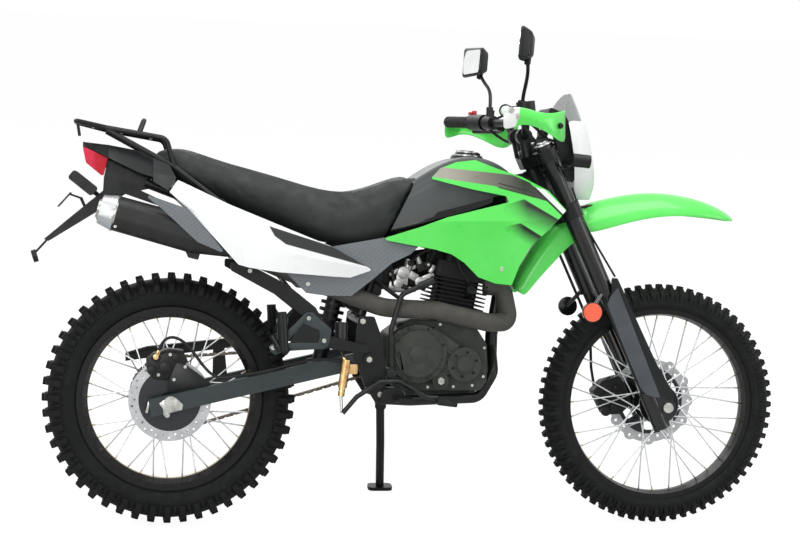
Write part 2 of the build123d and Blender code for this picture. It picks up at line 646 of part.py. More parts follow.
# Each panel is held by a boss: its place, then how far out the frame or tank and the panel's wall lie.
SHROUD_BOSS = (800, 950, 115, 135)
SIDE_BOSS = (250, 795, 80, 162)
COVER_BOSS = (420, 728, 74, 139.5)
panels = {}
for name, side, stations, outline, boss in (
    ("tank_shroud_right", -1, SHROUD_STATIONS, SHROUD_OUTLINE, SHROUD_BOSS),
    ("tank_shroud_left", 1, SHROUD_STATIONS, SHROUD_OUTLINE, SHROUD_BOSS),
    ("side_panel_right", -1, SIDE_STATIONS, SIDE_OUTLINE, SIDE_BOSS),
    ("side_panel_left", 1, SIDE_STATIONS, SIDE_OUTLINE, SIDE_BOSS),
    ("frame_cover_right", -1, COVER_STATIONS, COVER_OUTLINE, COVER_BOSS),
    ("frame_cover_left", 1, COVER_STATIONS, COVER_OUTLINE, COVER_BOSS),
):
    boss_x, boss_z, boss_root, boss_tip = boss
    with BuildPart() as panel:
        shell_panel(side, stations, PANEL_WALL, outline, 4)
        cross_drum(boss_x, boss_z, *sorted((side * boss_root, side * boss_tip)), 14)
        cut_with(fuel_tank, seat, rear_subframe)
    keep(panel, name)
    panels[name] = panel

with BuildPart() as heat_shield:
    slab(SHIELD_OUTLINE, -192, -188.3, 4)
    cut_with(muffler, panels["side_panel_right"])
keep(heat_shield, "heat_shield")

cheeks = []
for side in (-1, 1):
    with BuildPart() as cheek:
        stations = ((-60, (116, 880), (118, 940), (108, 1000)), (20, (142, 880), (128, 930), (117.5, 975)))
        shell_panel(side, stations, PANEL_WALL, [(-56, 984), (-14, 962), (4, 929), (-16, 896), (-56, 918)],
                    3)
        cut_with(seat)
    cheeks.append(cheek.part)

with BuildPart() as tail_cowl:
    sections = []
    for x, half, low, high in ((-240, 44, 1004, 1019), (-172, 78, 972, 1012), (-90, 98, 934, 998),
                               (-48, 106, 922, 990)):
        with BuildSketch(Plane.YZ.offset(x)) as ring:
            Polygon((half, low + 6), (half * 0.8, high), (-half * 0.8, high), (-half, low + 6),
                    (-half * 0.7, low), (half * 0.7, low), align=None)
        sections.append(ring.sketch)
    loft(sections, ruled=True)
    cut_with(rear_subframe)
    add(cheeks)
    # ears that carry the cheeks
    cross_drum(-52, 958, -114, 114, 12)
keep(tail_cowl, "tail_cowl")

with BuildPart() as tail_lamp:
    slab([(-241, 1008), (-174, 977), (-186, 928), (-231, 964)], -62, 62, 5)
    cut_with(tail_cowl)
keep(tail_lamp, "tail_lamp")

with BuildPart() as rear_mudguard:
    slab([(-175, 970), (-92, 933), (-60, 926), (-60, 900), (-130, 884), (-186, 880), (-184, 926)], -46, 46)
    slab([(-150, 922), (-276, 814), (-338, 760), (-325, 755), (-196, 838), (-126, 884), (-110, 900)], -36,
         36)
    slab([(-128, 884), (60, 822), (232, 730), (312, 640), (318, 644), (236, 736), (62, 829), (-100, 900)],
         -62, 62)
    rod((-330, 0, 758), (-360, 0, 724), 6)
    rod((-356, 0, 716), (-368, 0, 712), 34)
    for side in (-1, 1):
        rod((-200, side * 20, 880), (-214, side * 84, 892), 12)
        with BuildSketch(Plane((-214, side * 84, 892), x_dir=(0.79, 0, -0.61), z_dir=(0, side, 0))) as lamp:
            with Locations((-30, 0)):
                RectangleRounded(78, 28, 8)
        extrude(lamp.sketch, amount=46)
    rod((-232, 0, 846), (-244, 0, 872), 8)
    slab([(-303, 848), (-271, 885), (-269, 883), (-301, 846)], -80, 80)
    slab([(-275, 878), (-271, 882), (-240, 872), (-240, 866)], -8, 8)
    cut_with(tail_cowl, tail_lamp, rear_subframe, seat)
keep(rear_mudguard, "rear_mudguard")

RACK_LOOP = [(0, 112, 956), (-24, 112, 1032), (-180, 100, 1056), (-258, 62, 1073)]
with BuildPart() as rear_rack:
    loop = RACK_LOOP + [(x, -y, z) for x, y, z in reversed(RACK_LOOP)]
    tube(loop, RACK_TUBE, 24)
    for route in both_sides([(-180, 100, 1052), (0, 112, 958), (122, 132, 868)]):
        tube(route, RACK_TUBE, 60)
    for side in (-1, 1):
        cross_drum(122, 866, side * 137 - 9, side * 137 + 9, 24)
    tube([(-95, 106, 1042), (-82, 84, 1078), (-82, -84, 1078), (-95, -106, 1042)], RACK_TUBE, 24)
    for x, half, z in ((-60, 108, 1038), (-140, 102, 1050), (-215, 84, 1063)):
        cross_drum(x, z, -half, half, RACK_TUBE - 4)
    rod((-256, 30, 1072), (-250, 30, 1036), 8)
    cut_with(seat, panels["side_panel_right"], panels["side_panel_left"], tail_cowl)
keep(rear_rack, "rear_rack")

with BuildPart() as chain_guard:
    slab([(-118, 452), (-60, 470), (150, 494), (190, 492), (190, 470), (150, 466), (-40, 440),
          (-118, 428)], 88, 91.5)
    slab([(-118, 452), (-60, 470), (150, 494), (190, 492), (190, 488), (150, 490), (-58, 466),
          (-118, 448)], 68, 89)
    slab([(120, 480), (150, 480), (160, arm_z(150) + arm_half - 1), (120, arm_z(120) + arm_half - 1)], 88,
         94)
    cut_with(swingarm, chain)
keep(chain_guard, "chain_guard")

with BuildPart() as foot_pegs:
    for side in (-1, 1):
        y_plate = side * PLATE_OUTER_Y
        y_out = side * 232
        # rider's peg on its bracket below the pivot plate
        slab([(552, 340), (590, 344), (624, 366), (600, 384), (560, 378)],
             *sorted((y_plate + side * FIT, side * 140)), 6)
        slab([(590, 352), (634, 352), (634, 364), (590, 364)], *sorted((side * 150, y_out)), 3)
        rod((606, side * 138, 358), (606, side * 152, 358), 18)
        # passenger's bracket plate with its folded peg
        slab([(297, 480), (359, 592), (420, 540), (412, 488)], *sorted((side * 148, side * 153)), 6)
        slab([(150, 712), (200, 705), (300, 655), (376, 596), (420, 520), (398, 512), (352, 566),
              (280, 622), (150, 690)],
             *sorted((side * 142, side * 148)), 6)
        slab([(398, 512), (420, 520), (500, 500), (494, 478), (412, 488)],
             *sorted((side * 142, side * 148)), 4)
        slab([(494, 478), (500, 500), (520, 500), (520, 478)],
             *sorted((side * PLATE_OUTER_Y + side * FIT, side * 148)), 4)
        rod((262, side * 150, 520), (285, side * 166, 480), 16)
        slab([(262, 490), (300, 470), (312, 486), (280, 508)], *sorted((side * 150, side * 164)), 4)
        rod((292, side * 166, 482), (284, side * 166, 584), 26)
    cut_with(exhaust_header, muffler, main_frame, *panels.values())
keep(foot_pegs, "foot_pegs")

with BuildPart() as brake_pedal:
    tube([(452, -162, 318), (488, -166, 362), (548, -168, 402), (600, -168, 404), (676, -170, 362),
          (704, -174, 362)],
         13, 22)
    slab([(700, 344), (754, 338), (756, 350), (704, 368)], -190, -158, 4)
    rod((548, -PLATE_OUTER_Y - FIT, 398), (548, -172, 398), 20)
    cut_with(main_frame, foot_pegs)
keep(brake_pedal, "brake_pedal")

with BuildPart() as kick_lever:
    rod((582, -CASE_HALF - FIT, 424), (582, -154, 424), 26)
    tube([(582, -148, 424), (578, -150, 540), (604, -150, 634), (668, -150, 664)], 14, 24)
    rod((650, -150, 656), (690, -150, 674), 20)
    cut_with(engine_case, main_frame, brake_pedal, exhaust_header)
keep(kick_lever, "kick_lever")

with BuildPart() as gear_lever:
    rod((676, CASE_HALF + FIT, 388), (676, 140, 388), 20)
    tube([(676, 134, 388), (740, 150, 372), (800, 152, 376)], 12, 30)
    rod((800, 140, 376), (800, 176, 376), 18)
    cut_with(engine_case)
keep(gear_lever, "gear_lever")

with BuildPart() as rear_master_cylinder:
    rod((462, -140, 458), (452, -140, 384), 24)
    rod((452, -140, 386), (449, -142, 360), 18)
    rod((449, -142, 362), (450, -152, 318), 8)
    slab([(450, 444), (492, 446), (492, 420), (450, 418)], -138, -PLATE_OUTER_Y - FIT, 4)
    rod((448, -120, 508), (448, -120, 556), 34)
    tube([(448, -120, 512), (446, -128, 484), (458, -140, 455)], 9, 12)
    cut_with(main_frame, foot_pegs, exhaust_header, brake_pedal, swingarm)
keep(rear_master_cylinder, "rear_master_cylinder")

with BuildPart() as rear_caliper:
    slab([(-58, 402), (-66, 478), (-40, 492), (10, 494), (52, 486), (56, 420), (30, 402), (-20, 400)], -88,
         -43, 8)
    slab([(-80, 380), (-80, 500), (70, 500), (70, 380)], REAR_DISC_Y - 5.5, REAR_DISC_Y + 5.5,
         mode=Mode.SUBTRACT)
    slab([(-60, 474), (-66, 478), (-40, 492), (10, 494), (52, 486), (40, 478), (-30, 478), (-48, 468)],
         REAR_DISC_Y - 7, REAR_DISC_Y + 7)
    with BuildSketch(Plane.XZ.offset(86)) as hanger:
        Polygon((14, 440), (44, 444), (100, 386), (100, 372), (8, 352), (-8, 380), align=None)
    extrude(hanger.sketch, amount=5)
    tube([(-24, -76, 488), (-14, -80, 506), (16, -88, 512), (70, -100, 452), (118, -112, 408)], 8, 14)
    tube([(118, -112, 408), (160, -123, 400), (240, -123, 424), (330, -123, 450), (400, -123, 462),
          (452, -128, 452)],
         8, 30)
    cut_with(swingarm, rear_axle, rear_master_cylinder, foot_pegs, main_frame)
keep(rear_caliper, "rear_caliper")

# ================================================================== side stand
STAND_TUBE = 24
FOOT_PAD = 10
with BuildPart() as side_stand:
    rod(stand_spot(-STAND_HUB / 2), stand_spot(STAND_HUB / 2), STAND_HUB_DIAMETER)
    knee = Vector(*STAND_PIVOT) + (foot_on_ground - Vector(*STAND_PIVOT)) * 0.45 + Vector(0, -9, 0)
    tube([STAND_PIVOT, tuple(knee), tuple(foot_on_ground + GROUND.z_dir * FOOT_PAD / 2)], STAND_TUBE, 200)
    with BuildSketch(Plane(foot_on_ground, x_dir=(1, 0, 0), z_dir=GROUND.z_dir)) as foot_pad:
        RectangleRounded(70, 46, 14)
    extrude(foot_pad.sketch, amount=FOOT_PAD)
    rod(stand_spot(-STAND_HUB), stand_spot(STAND_HUB), STAND_PIN + 2 * FIT, Mode.SUBTRACT)
    under = GROUND.offset(-40)
    with BuildSketch(under) as ground_cut:
        with Locations((STAND_FOOT_X, STAND_REACH)):
            Rectangle(160, 160)
    extrude(ground_cut.sketch, amount=40, mode=Mode.SUBTRACT)
keep(side_stand, "side_stand")

# ================================================================== steered front
TUBE_LOW = 351
CLAMP_LOW = (580, 622)
CLAMP_HIGH = (750, 782)
FOOT_HALF = 24
with BuildPart() as fork_legs:
    for side in (-1, 1):
        y = side * LEG_Y
        rod(steer_point(CLAMP_OFFSET, y, TUBE_LOW), steer_point(CLAMP_OFFSET, y, CLAMP_LOW[0] + 4),
            OUTER_TUBE_DIAMETER)
        rod(steer_point(CLAMP_OFFSET, y, CLAMP_LOW[0]), steer_point(CLAMP_OFFSET, y, 792),
            UPPER_TUBE_DIAMETER)
        rod(steer_point(CLAMP_OFFSET, y, 791), steer_point(CLAMP_OFFSET, y, 800), 30)
        rod(steer_point(CLAMP_OFFSET, y, 30), steer_point(CLAMP_OFFSET, y, TUBE_LOW + 1),
            STANCHION_DIAMETER)
        # cast foot that holds the axle
        rod(steer_point(CLAMP_OFFSET, y, -50), steer_point(CLAMP_OFFSET, y, 62), 2 * FOOT_HALF)
        steer_slab([(CLAMP_OFFSET, -44), (74, -30), (92, 0), (84, 26), (CLAMP_OFFSET, 58)],
                   y - FOOT_HALF + 2, y + FOOT_HALF - 2)
    rod(steer_point(axis_to_axle, -140, 0), steer_point(axis_to_axle, 140, 0), AXLE_DIAMETER + 2 * FIT,
        Mode.SUBTRACT)
keep(fork_legs, "fork_legs")

with BuildPart() as front_axle:
    rod((WHEELBASE, -126, FRONT_TYRE_RADIUS), (WHEELBASE, 126, FRONT_TYRE_RADIUS), AXLE_DIAMETER)
    for y_from, y_to in ((-128, -LEG_Y - FOOT_HALF - FIT), (LEG_Y + FOOT_HALF + FIT, 128)):
        cross_drum(WHEELBASE, FRONT_TYRE_RADIUS, y_from, y_to, 28)
keep(front_axle, "front_axle")

BAR_RISE = (934, 122, 1108)
BAR_END = (818, BAR_END_Y, 1118)
with BuildPart() as handlebar:
    right_half = [(x, -y, z) for x, y, z in (BAR_END, BAR_RISE, (946, 68, 1066))]
    left_half = [(x, -y, z) for x, y, z in reversed(right_half)]
    tube(right_half + left_half, BAR_DIAMETER, 34)
    rod((934, -112, 1106), (934, 112, 1106), 14)
keep(handlebar, "handlebar")

with BuildPart() as fork_clamps:
    for low, high in (CLAMP_LOW, CLAMP_HIGH):
        for side in (-1, 1):
            rod(steer_point(CLAMP_OFFSET, side * LEG_Y, low),
                steer_point(CLAMP_OFFSET, side * LEG_Y, high), 60)
        with BuildSketch(STEER.offset(low)) as bridge:
            Polygon((-24, -30), (-24, 30), (12, LEG_Y + 6), (CLAMP_OFFSET + 24, LEG_Y),
                    (CLAMP_OFFSET + 10, 0), (CLAMP_OFFSET + 24, -LEG_Y), (12, -LEG_Y - 6), align=None)
        extrude(bridge.sketch, amount=high - low)
    rod(steer_point(0, 0, CLAMP_LOW[0]), steer_point(0, 0, CLAMP_HIGH[1] + 10), STEM_DIAMETER)
    for side in (-1, 1):
        rod(steer_point(-6, side * 48, CLAMP_HIGH[1] - 2), (946, side * 48, 1066), 30)
        rod((946, side * 34, 1066), (946, side * 62, 1066), 44)
    cut_with(fork_legs, handlebar)

keep(fork_clamps, "fork_clamps")


def along_bar(side, share):
    """A point on the straight end run of the handlebar, from its rise (0) to its end (1)."""
    place = Vector(*BAR_RISE) + (Vector(*BAR_END) - Vector(*BAR_RISE)) * share
    return (place.X, side * place.Y, place.Z)


with BuildPart() as grips:
    for side in (-1, 1):
        rod(along_bar(side, 0.6), along_bar(side, 1.0), GRIP_DIAMETER)
        rod(along_bar(side, 0.58), along_bar(side, 0.61), 42)
    cut_with(handlebar)
keep(grips, "grips")

with BuildPart() as hand_controls:
    for side in (-1, 1):
        # switch housing, lever perch and lever
        rod(along_bar(side, 0.37), along_bar(side, 0.57), 46)
        rod(along_bar(side, 0.22), along_bar(side, 0.34), 40)
        perch = along_bar(side, 0.28)
        elbow = (perch[0] + 42, perch[1] + side * 8, perch[2] - 14)
        rod(perch, elbow, 24)
        tube([elbow, (elbow[0] + 4, side * 286, elbow[2] - 8), (elbow[0] - 52, side * 398, elbow[2] - 6)],
             11, 60)
        # mirror boss
        rod(perch, (perch[0] + 4, perch[1], perch[2] + 36), 18)
    reservoir = along_bar(-1, 0.3)
    rod((reservoir[0] + 18, reservoir[1], reservoir[2] + 12),
        (reservoir[0] + 14, reservoir[1], reservoir[2] + 42), 50)
    cut_with(handlebar, grips)
keep(hand_controls, "hand_controls")

MIRROR_TOE = 16
with BuildPart() as mirrors:
    for side in (-1, 1):
        perch = along_bar(side, 0.28)
        foot = (perch[0] + 4, perch[1], perch[2] + 36)
        head = (894, side * 318, 1258)
        tube([foot, (foot[0] + 4, side * 240, 1196), head], 10, 60)
        back = Plane((876, side * 336, 1290), z_dir=(-math.cos(math.radians(MIRROR_TOE)),
                     -side * math.sin(math.radians(MIRROR_TOE)), 0.06),
                     x_dir=(-math.sin(math.radians(MIRROR_TOE)),
                     side * math.cos(math.radians(MIRROR_TOE)), 0))
        with BuildSketch(back) as face:
            Polygon((-62, -38), (-48, 44), (58, 38), (66, -18), (40, -46), align=None)
            fillet(face.vertices(), 10)
        with BuildSketch(back.offset(-26)) as rear_face:
            Polygon((-44, -24), (-36, 28), (38, 24), (46, -10), (28, -30), align=None)
            fillet(rear_face.vertices(), 7)
        loft([face.sketch, rear_face.sketch], ruled=True)
        extrude(face.sketch, amount=6)
    cut_with(hand_controls)
keep(mirrors, "mirrors")

shields = []
for side in (-1, 1):
    with BuildLine() as wall_line:
        FilletPolyline((842, side * 428, 1030), (926, side * 428, 1030), (992, side * 372, 1030),
                       (996, side * 252, 1030), radius=44)
    with BuildSketch(Plane.XY.offset(1030)) as wall:
        with BuildLine():
            offset(wall_line.line, amount=2, side=Side.BOTH)
        make_face()
    with BuildPart() as shield:
        extrude(wall.sketch, amount=110)
        slab([(838, 1122), (860, 1134), (900, 1128), (990, 1130), (1000, 1086), (978, 1044), (952, 1046),
              (908, 1074),
              (842, 1092)], -440, 440, 6, mode=Mode.INTERSECT)
    shields.append(shield.part)

with BuildPart() as hand_guards:
    add(shields)
    for side in (-1, 1):
        rod((818, side * 419, 1118), (846, side * 427, 1112), 24)
    cut_with(handlebar, grips)
keep(hand_guards, "hand_guards")


def bowed_skin(rows, wall):
    """A skin bowed forward about the machine's middle, lofted upward through its rows.

    Each row is its height, the half width, then x of its edge, shoulder and crown.
    """
    strips = []
    for height, half, edge, shoulder, crown in rows:
        outer = [(edge, half), (shoulder, half * 0.8), (crown, half * 0.42)]
        inner = [(edge, half - wall), (shoulder - wall, half * 0.8 - wall + 1),
                 (crown - wall, half * 0.42 - 2)]
        loop = outer + [(x, -y) for x, y in reversed(outer)] + [(x, -y) for x, y in inner] + inner[::-1]
        with BuildSketch(Plane.XY.offset(height)) as strip:
            Polygon(*loop, align=None)
        strips.append(strip.sketch)
    loft(strips, ruled=True)


MASK_ROWS = (
    (898, 46, 1086, 1122, 1140),
    (950, 88, 1080, 1128, 1154),
    (1030, 108, 1070, 1112, 1146),
    (1092, 92, 1062, 1096, 1124),
    (1112, 84, 1058, 1088, 1114),
)
SCREEN_ROWS = (
    (1112.3, 84, 1064, 1090, 1113),
    (1150, 70, 1050, 1076, 1098),
    (1186, 42, 1048, 1066, 1082),
)
with BuildPart() as headlight_mask:
    bowed_skin(MASK_ROWS, 4)
    with BuildSketch(Plane((1200, 0, 1016), x_dir=(0, 1, 0), z_dir=(-1, 0, 0))) as window:
        RectangleRounded(124, 104, 30)
    extrude(window.sketch, amount=140, mode=Mode.SUBTRACT)
keep(headlight_mask, "headlight_mask")

with BuildPart() as headlamp:
    with BuildSketch(Plane((1132, 0, 1016), x_dir=(0, 1, 0), z_dir=(-1, 0, 0))) as lens:
        RectangleRounded(116, 96, 26)
    extrude(lens.sketch, amount=34)
    with BuildSketch(Plane((1099, 0, 1016), x_dir=(0, 1, 0), z_dir=(-1, 0, 0))) as bowl:
        RectangleRounded(96, 80, 24)
    extrude(bowl.sketch, amount=38, taper=18)
    fillet(headlamp.faces().sort_by(Axis.X)[-1].edges(), 8)
keep(headlamp, "headlamp")

with BuildPart() as windscreen:
    bowed_skin(SCREEN_ROWS, 4)
keep(windscreen, "windscreen")

with BuildPart() as instrument_panel:
    slab([(1002, 1104), (1040, 1092), (1052, 1132), (1014, 1148)], -66, 66, 6)
    for side in (-1, 1):
        slab([(1030, 1058), (1074, 1052), (1112, 1010), (1098, 966), (1080, 944), (1066, 948),
              (1046, 1000)],
             *sorted((side * 66, side * 71)), 4)
        slab([(1036, 1138), (1052, 1138), (1074, 1096), (1084, 1030), (1066, 1030), (1046, 1094)],
             *sorted((side * 60, side * 64)), 4)
        rod(steer_point(CLAMP_OFFSET + 4, side * 62, 716), (1076, side * 68, 985), 14)
        rod((1076, side * 58, 1040), (1076, side * 72, 1040), 12)
    tube([(1026, 0, 1110), (996, 0, 1040), steer_point(20, 0, CLAMP_HIGH[1] + FIT)], 26, 14)
    rod((1086, -88.6, 985), (1086, 88.6, 985), 12)
    rod((1062, -62, 1100), (1062, 62, 1100), 10)
    cut_with(headlamp, headlight_mask, windscreen, fork_clamps, fork_legs, handlebar)
keep(instrument_panel, "instrument_panel")

with BuildPart() as front_indicators:
    for side in (-1, 1):
        rod((1062, side * 140, 1004), (1110, side * 140, 1000), 36)
        rod((1056, side * 71, 1000), (1066, side * 124, 1003), 12)
    cut_with(instrument_panel, headlight_mask)
keep(front_indicators, "front_indicators")

FENDER_ROWS = (
    # x, half width, then z of the edge, shoulder and crown
    (1132, 68, 808, 842, 872),
    (1210, 76, 830, 868, 897),
    (1290, 80, 852, 886, 911),
    (1362, 80, 860, 891, 912),
    (1440, 70, 858, 882, 902),
    (1510, 50, 852, 868, 880),
    (1552, 26, 846, 852, 857),
)
with BuildPart() as front_fender:
    arch_strip(Plane.YZ, FENDER_ROWS, 4)
    slab([(1040, 852), (1120, 868), (1133, 872), (1133, 866), (1118, 860), (1050, 846)], -66, 66)
    slab([(1140, 800), (1098, 785), (1040, 742), (985, 690), (944, 634), (952, 633), (992, 684),
          (1044, 732), (1100, 776),
          (1140, 792)], -64, 64)
    for side in (-1, 1):
        slab([(1046, 846), (1133, 866), (1133, 798), (1100, 782), (1052, 750), (1030, 800)],
             *sorted((side * 62, side * 66)))
    slab([(1052, 806), (1130, 842), (1133, 836), (1056, 800)], -64, 64)
    rod(steer_point(CLAMP_OFFSET - 8, 0, CLAMP_LOW[0] - 34),
        steer_point(CLAMP_OFFSET - 8, 0, CLAMP_LOW[0] - FIT), 50)
    cut_with(fork_legs, fork_clamps)
keep(front_fender, "front_fender")

GUARD_OUTLINE = [(24, 60), (17, 86), (22, 330), (46, 356), (60, 390), (76, 384), (84, 120), (96, 30),
                 (88, 8), (70, 30), (40, 44)]
with BuildPart() as fork_guards:
    for side in (-1, 1):
        steer_slab(GUARD_OUTLINE, *sorted((side * 121, side * 125)), 5)
        steer_slab([(80, 120), (84, 120), (76, 384), (72, 384)], *sorted((side * 76, side * 122)))
        steer_slab([(CLAMP_OFFSET + 8, 90), (78, 90), (78, 120), (CLAMP_OFFSET + 8, 120)],
                   *sorted((side * 90, side * 122)))
    cut_with(fork_legs, front_axle)
keep(fork_guards, "fork_guards")

with BuildPart() as front_caliper:
    steer_slab([(-74, 22), (-78, 96), (-40, 112), (10, 104), (16, 70), (12, 18), (-30, 4)], 41, 90, 8)
    steer_slab([(-100, -40), (-100, 140), (60, 140), (60, -40)],
               FRONT_DISC_Y - 6, FRONT_DISC_Y + 6, mode=Mode.SUBTRACT)
    steer_slab([(-78, 30), (-78, 96), (-40, 112), (-12, 112), (-22, 102), (-48, 84), (-64, 60), (-66, 30)],
               FRONT_DISC_Y - 7, FRONT_DISC_Y + 7)
    tube([steer_point(-60, 84, 100), steer_point(-44, 98, 150), steer_point(-1, 92, 260),
          steer_point(-2, 91, 640),
          steer_point(30, 50, 690), steer_point(72, 30, 740), steer_point(76, -20, 790), (975, -90, 1084),
          (926, -184, 1104)], 8, [30, 60, 30, 30, 26, 26, 40])
    cut_with(fork_legs, fork_guards, fork_clamps, front_fender, instrument_panel, handlebar, hand_controls)
keep(front_caliper, "front_caliper")

with BuildPart() as fork_reflectors:
    for side in (-1, 1):
        rod((1128, side * 143, 594), (1128, side * 150, 594), 50)
        rod((1128, side * 136, 594), (1128, side * 144, 594), 54)
        rod((1126, side * 139, 594), (1160, side * 112, 640), 12)
    cut_with(fork_legs)
keep(fork_reflectors, "fork_reflectors")

# ================================================================== lean and write
os.makedirs("parts", exist_ok=True)
leaned = {name: shape.moved(PARKED) for name, shape in finished.items()}
boxes = [shape.bounding_box() for shape in leaned.values()]
middle_x = (min(box.min.X for box in boxes) + max(box.max.X for box in boxes)) / 2
middle_y = (min(box.min.Y for box in boxes) + max(box.max.Y for box in boxes)) / 2
for name, shape in leaned.items():
    parked = shape.moved(Location((-middle_x, -middle_y, 0)))
    parked.label = name
    export_step(parked, f"parts/{name}.step")
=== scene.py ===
import math

import bmesh
import bpy
from mathutils import Euler, Matrix, Vector


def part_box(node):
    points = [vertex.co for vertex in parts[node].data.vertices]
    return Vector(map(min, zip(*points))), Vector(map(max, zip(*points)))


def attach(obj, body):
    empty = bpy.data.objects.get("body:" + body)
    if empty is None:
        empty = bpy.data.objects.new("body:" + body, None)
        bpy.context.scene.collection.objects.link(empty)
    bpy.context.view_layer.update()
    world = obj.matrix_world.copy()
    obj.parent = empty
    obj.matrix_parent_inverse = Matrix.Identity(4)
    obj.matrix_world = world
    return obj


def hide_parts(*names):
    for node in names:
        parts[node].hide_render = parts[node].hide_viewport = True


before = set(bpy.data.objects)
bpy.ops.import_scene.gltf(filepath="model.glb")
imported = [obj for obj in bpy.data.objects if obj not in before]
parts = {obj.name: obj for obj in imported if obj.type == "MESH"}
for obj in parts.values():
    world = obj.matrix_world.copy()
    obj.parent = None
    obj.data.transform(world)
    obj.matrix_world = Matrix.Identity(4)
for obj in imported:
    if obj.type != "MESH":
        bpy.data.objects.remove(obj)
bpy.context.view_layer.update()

# Standing frame. The machine is described upright, in millimetres: x forward from the
# rear axle, y to the rider's left, z up from the ground. It then leans onto its stand.
LEAN = math.radians(9)
FRONT_AXLE = Vector((1.354, 0, 0.334))
leaned = Matrix.Rotation(-LEAN, 4, "X")
axle_low, axle_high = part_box("front_axle")
axle_middle = (Vector(axle_low) + Vector(axle_high)) / 2
PARKED = Matrix.Translation(axle_middle - leaned @ FRONT_AXLE) @ leaned
UPRIGHT = PARKED.inverted()


def spot(x, y, z):
    """A point of the upright machine in millimetres, as a point of the frame."""
    return PARKED @ Vector((x / 1000, y / 1000, z / 1000))


# Camera. It stands five metres to the machine's right at bar height, a little behind its
# middle, and looks slightly forward and down. Places in mm of the upright machine.
CAMERA_PLACE = (-159.5, -5130.4, 894.9)
CAMERA_YAW = math.radians(8.654)
CAMERA_PITCH = math.radians(2.403)
CAMERA_ROLL = math.radians(1.371)
FOCAL_PIXELS, FRAME_PIXELS = 1897.4, 800
sight = Vector((
    math.sin(CAMERA_YAW) * math.cos(CAMERA_PITCH),
    math.cos(CAMERA_YAW) * math.cos(CAMERA_PITCH),
    -math.sin(CAMERA_PITCH),
))
level_right = Vector((math.cos(CAMERA_YAW), -math.sin(CAMERA_YAW), 0))
level_up = level_right.cross(sight)
right = math.cos(CAMERA_ROLL) * level_right + math.sin(CAMERA_ROLL) * level_up
above = math.cos(CAMERA_ROLL) * level_up - math.sin(CAMERA_ROLL) * level_right
lens = bpy.data.cameras.new("camera")
lens.sensor_fit = "HORIZONTAL"
lens.sensor_width = 36
lens.lens = lens.sensor_width * FOCAL_PIXELS / FRAME_PIXELS
lens.clip_end = 60
camera = bpy.data.objects.new("camera", lens)
bpy.context.scene.collection.objects.link(camera)
turn = PARKED.to_3x3() @ Matrix((right, above, -sight)).transposed()
camera.matrix_world = Matrix.Translation(spot(*CAMERA_PLACE)) @ turn.to_4x4()
bpy.context.scene.camera = camera
bpy.context.scene.view_settings.view_transform = "Standard"


# Studio. White softboxes stand overhead, on the camera's side, in front and behind, over
# a sweep of white paper that keeps a soft shadow.
def linear(hex_colour):
    """An sRGB hex colour as the linear colour that shaders take."""
    channels = [int(hex_colour[i:i + 2], 16) / 255 for i in (1, 3, 5)]
    return (*[c / 12.92 if c <= 0.04045 else ((c + 0.055) / 1.055) ** 2.4 for c in channels], 1)


def add_node(tree, kind, *values, **settings):
    """Add a shader node with its settings and inputs, and return its first output.

    The inputs are sockets or plain values, in the node's own order; a dict gives them by name.
    """
    node = tree.nodes.new("ShaderNode" + kind)
    for name, value in settings.items():
        setattr(node, name, value)
    inputs = dict(enumerate(values))
    if values and isinstance(values[-1], dict):
        inputs.pop(len(values) - 1)
        inputs.update(values[-1])
    for name, value in inputs.items():
        if isinstance(value, bpy.types.NodeSocket):
            tree.links.new(value, node.inputs[name])
        else:
            node.inputs[name].default_value = value
    return node.outputs[0] if node.outputs else node


def softbox(name, place, aim, width, height, watts):
    """A white area lamp at a place, facing another, in metres of the frame."""
    lamp = bpy.data.lights.new(name, "AREA")
    lamp.shape = "RECTANGLE"
    lamp.size, lamp.size_y, lamp.energy = width, height, watts
    holder = bpy.data.objects.new(name, lamp)
    bpy.context.scene.collection.objects.link(holder)
    facing = (Vector(aim) - Vector(place)).to_track_quat("-Z", "Y")
    holder.matrix_world = Matrix.Translation(place) @ facing.to_matrix().to_4x4()


# name, place, aim, width and height in metres, watts
softbox("overhead", (0.2, -0.7, 3.6), (0, 0, 0.5), 3.6, 2.2, 82)
softbox("camera_side", (-2.0, -4.0, 2.2), (0, 0, 0.6), 2.4, 1.8, 60)
softbox("front_side", (4.0, -2.0, 1.6), (0.2, 0, 0.6), 1.6, 2.2, 33)
softbox("far_side", (-1.0, 4.0, 2.6), (0, 0, 0.7), 3.0, 2.0, 43)
AIR_LIGHT = 0.31  # strength of the air where it lights matt faces
PAPER_GLOW = 0.915

world = bpy.data.worlds.new("studio_air")
bpy.context.scene.world = world
world.use_nodes = True
tree = world.node_tree
tree.nodes.clear()
ray = add_node(tree, "LightPath").node.outputs
sharp = add_node(tree, "Math", ray["Is Camera Ray"], ray["Is Glossy Ray"], operation="MAXIMUM")
sharp = add_node(tree, "Math", sharp, ray["Is Transmission Ray"], operation="MAXIMUM")
strength = add_node(tree, "MapRange", sharp, 0.0, 1.0, AIR_LIGHT, 1.0)
air = add_node(tree, "Background", (1, 1, 1, 1), strength)
add_node(tree, "OutputWorld", air)

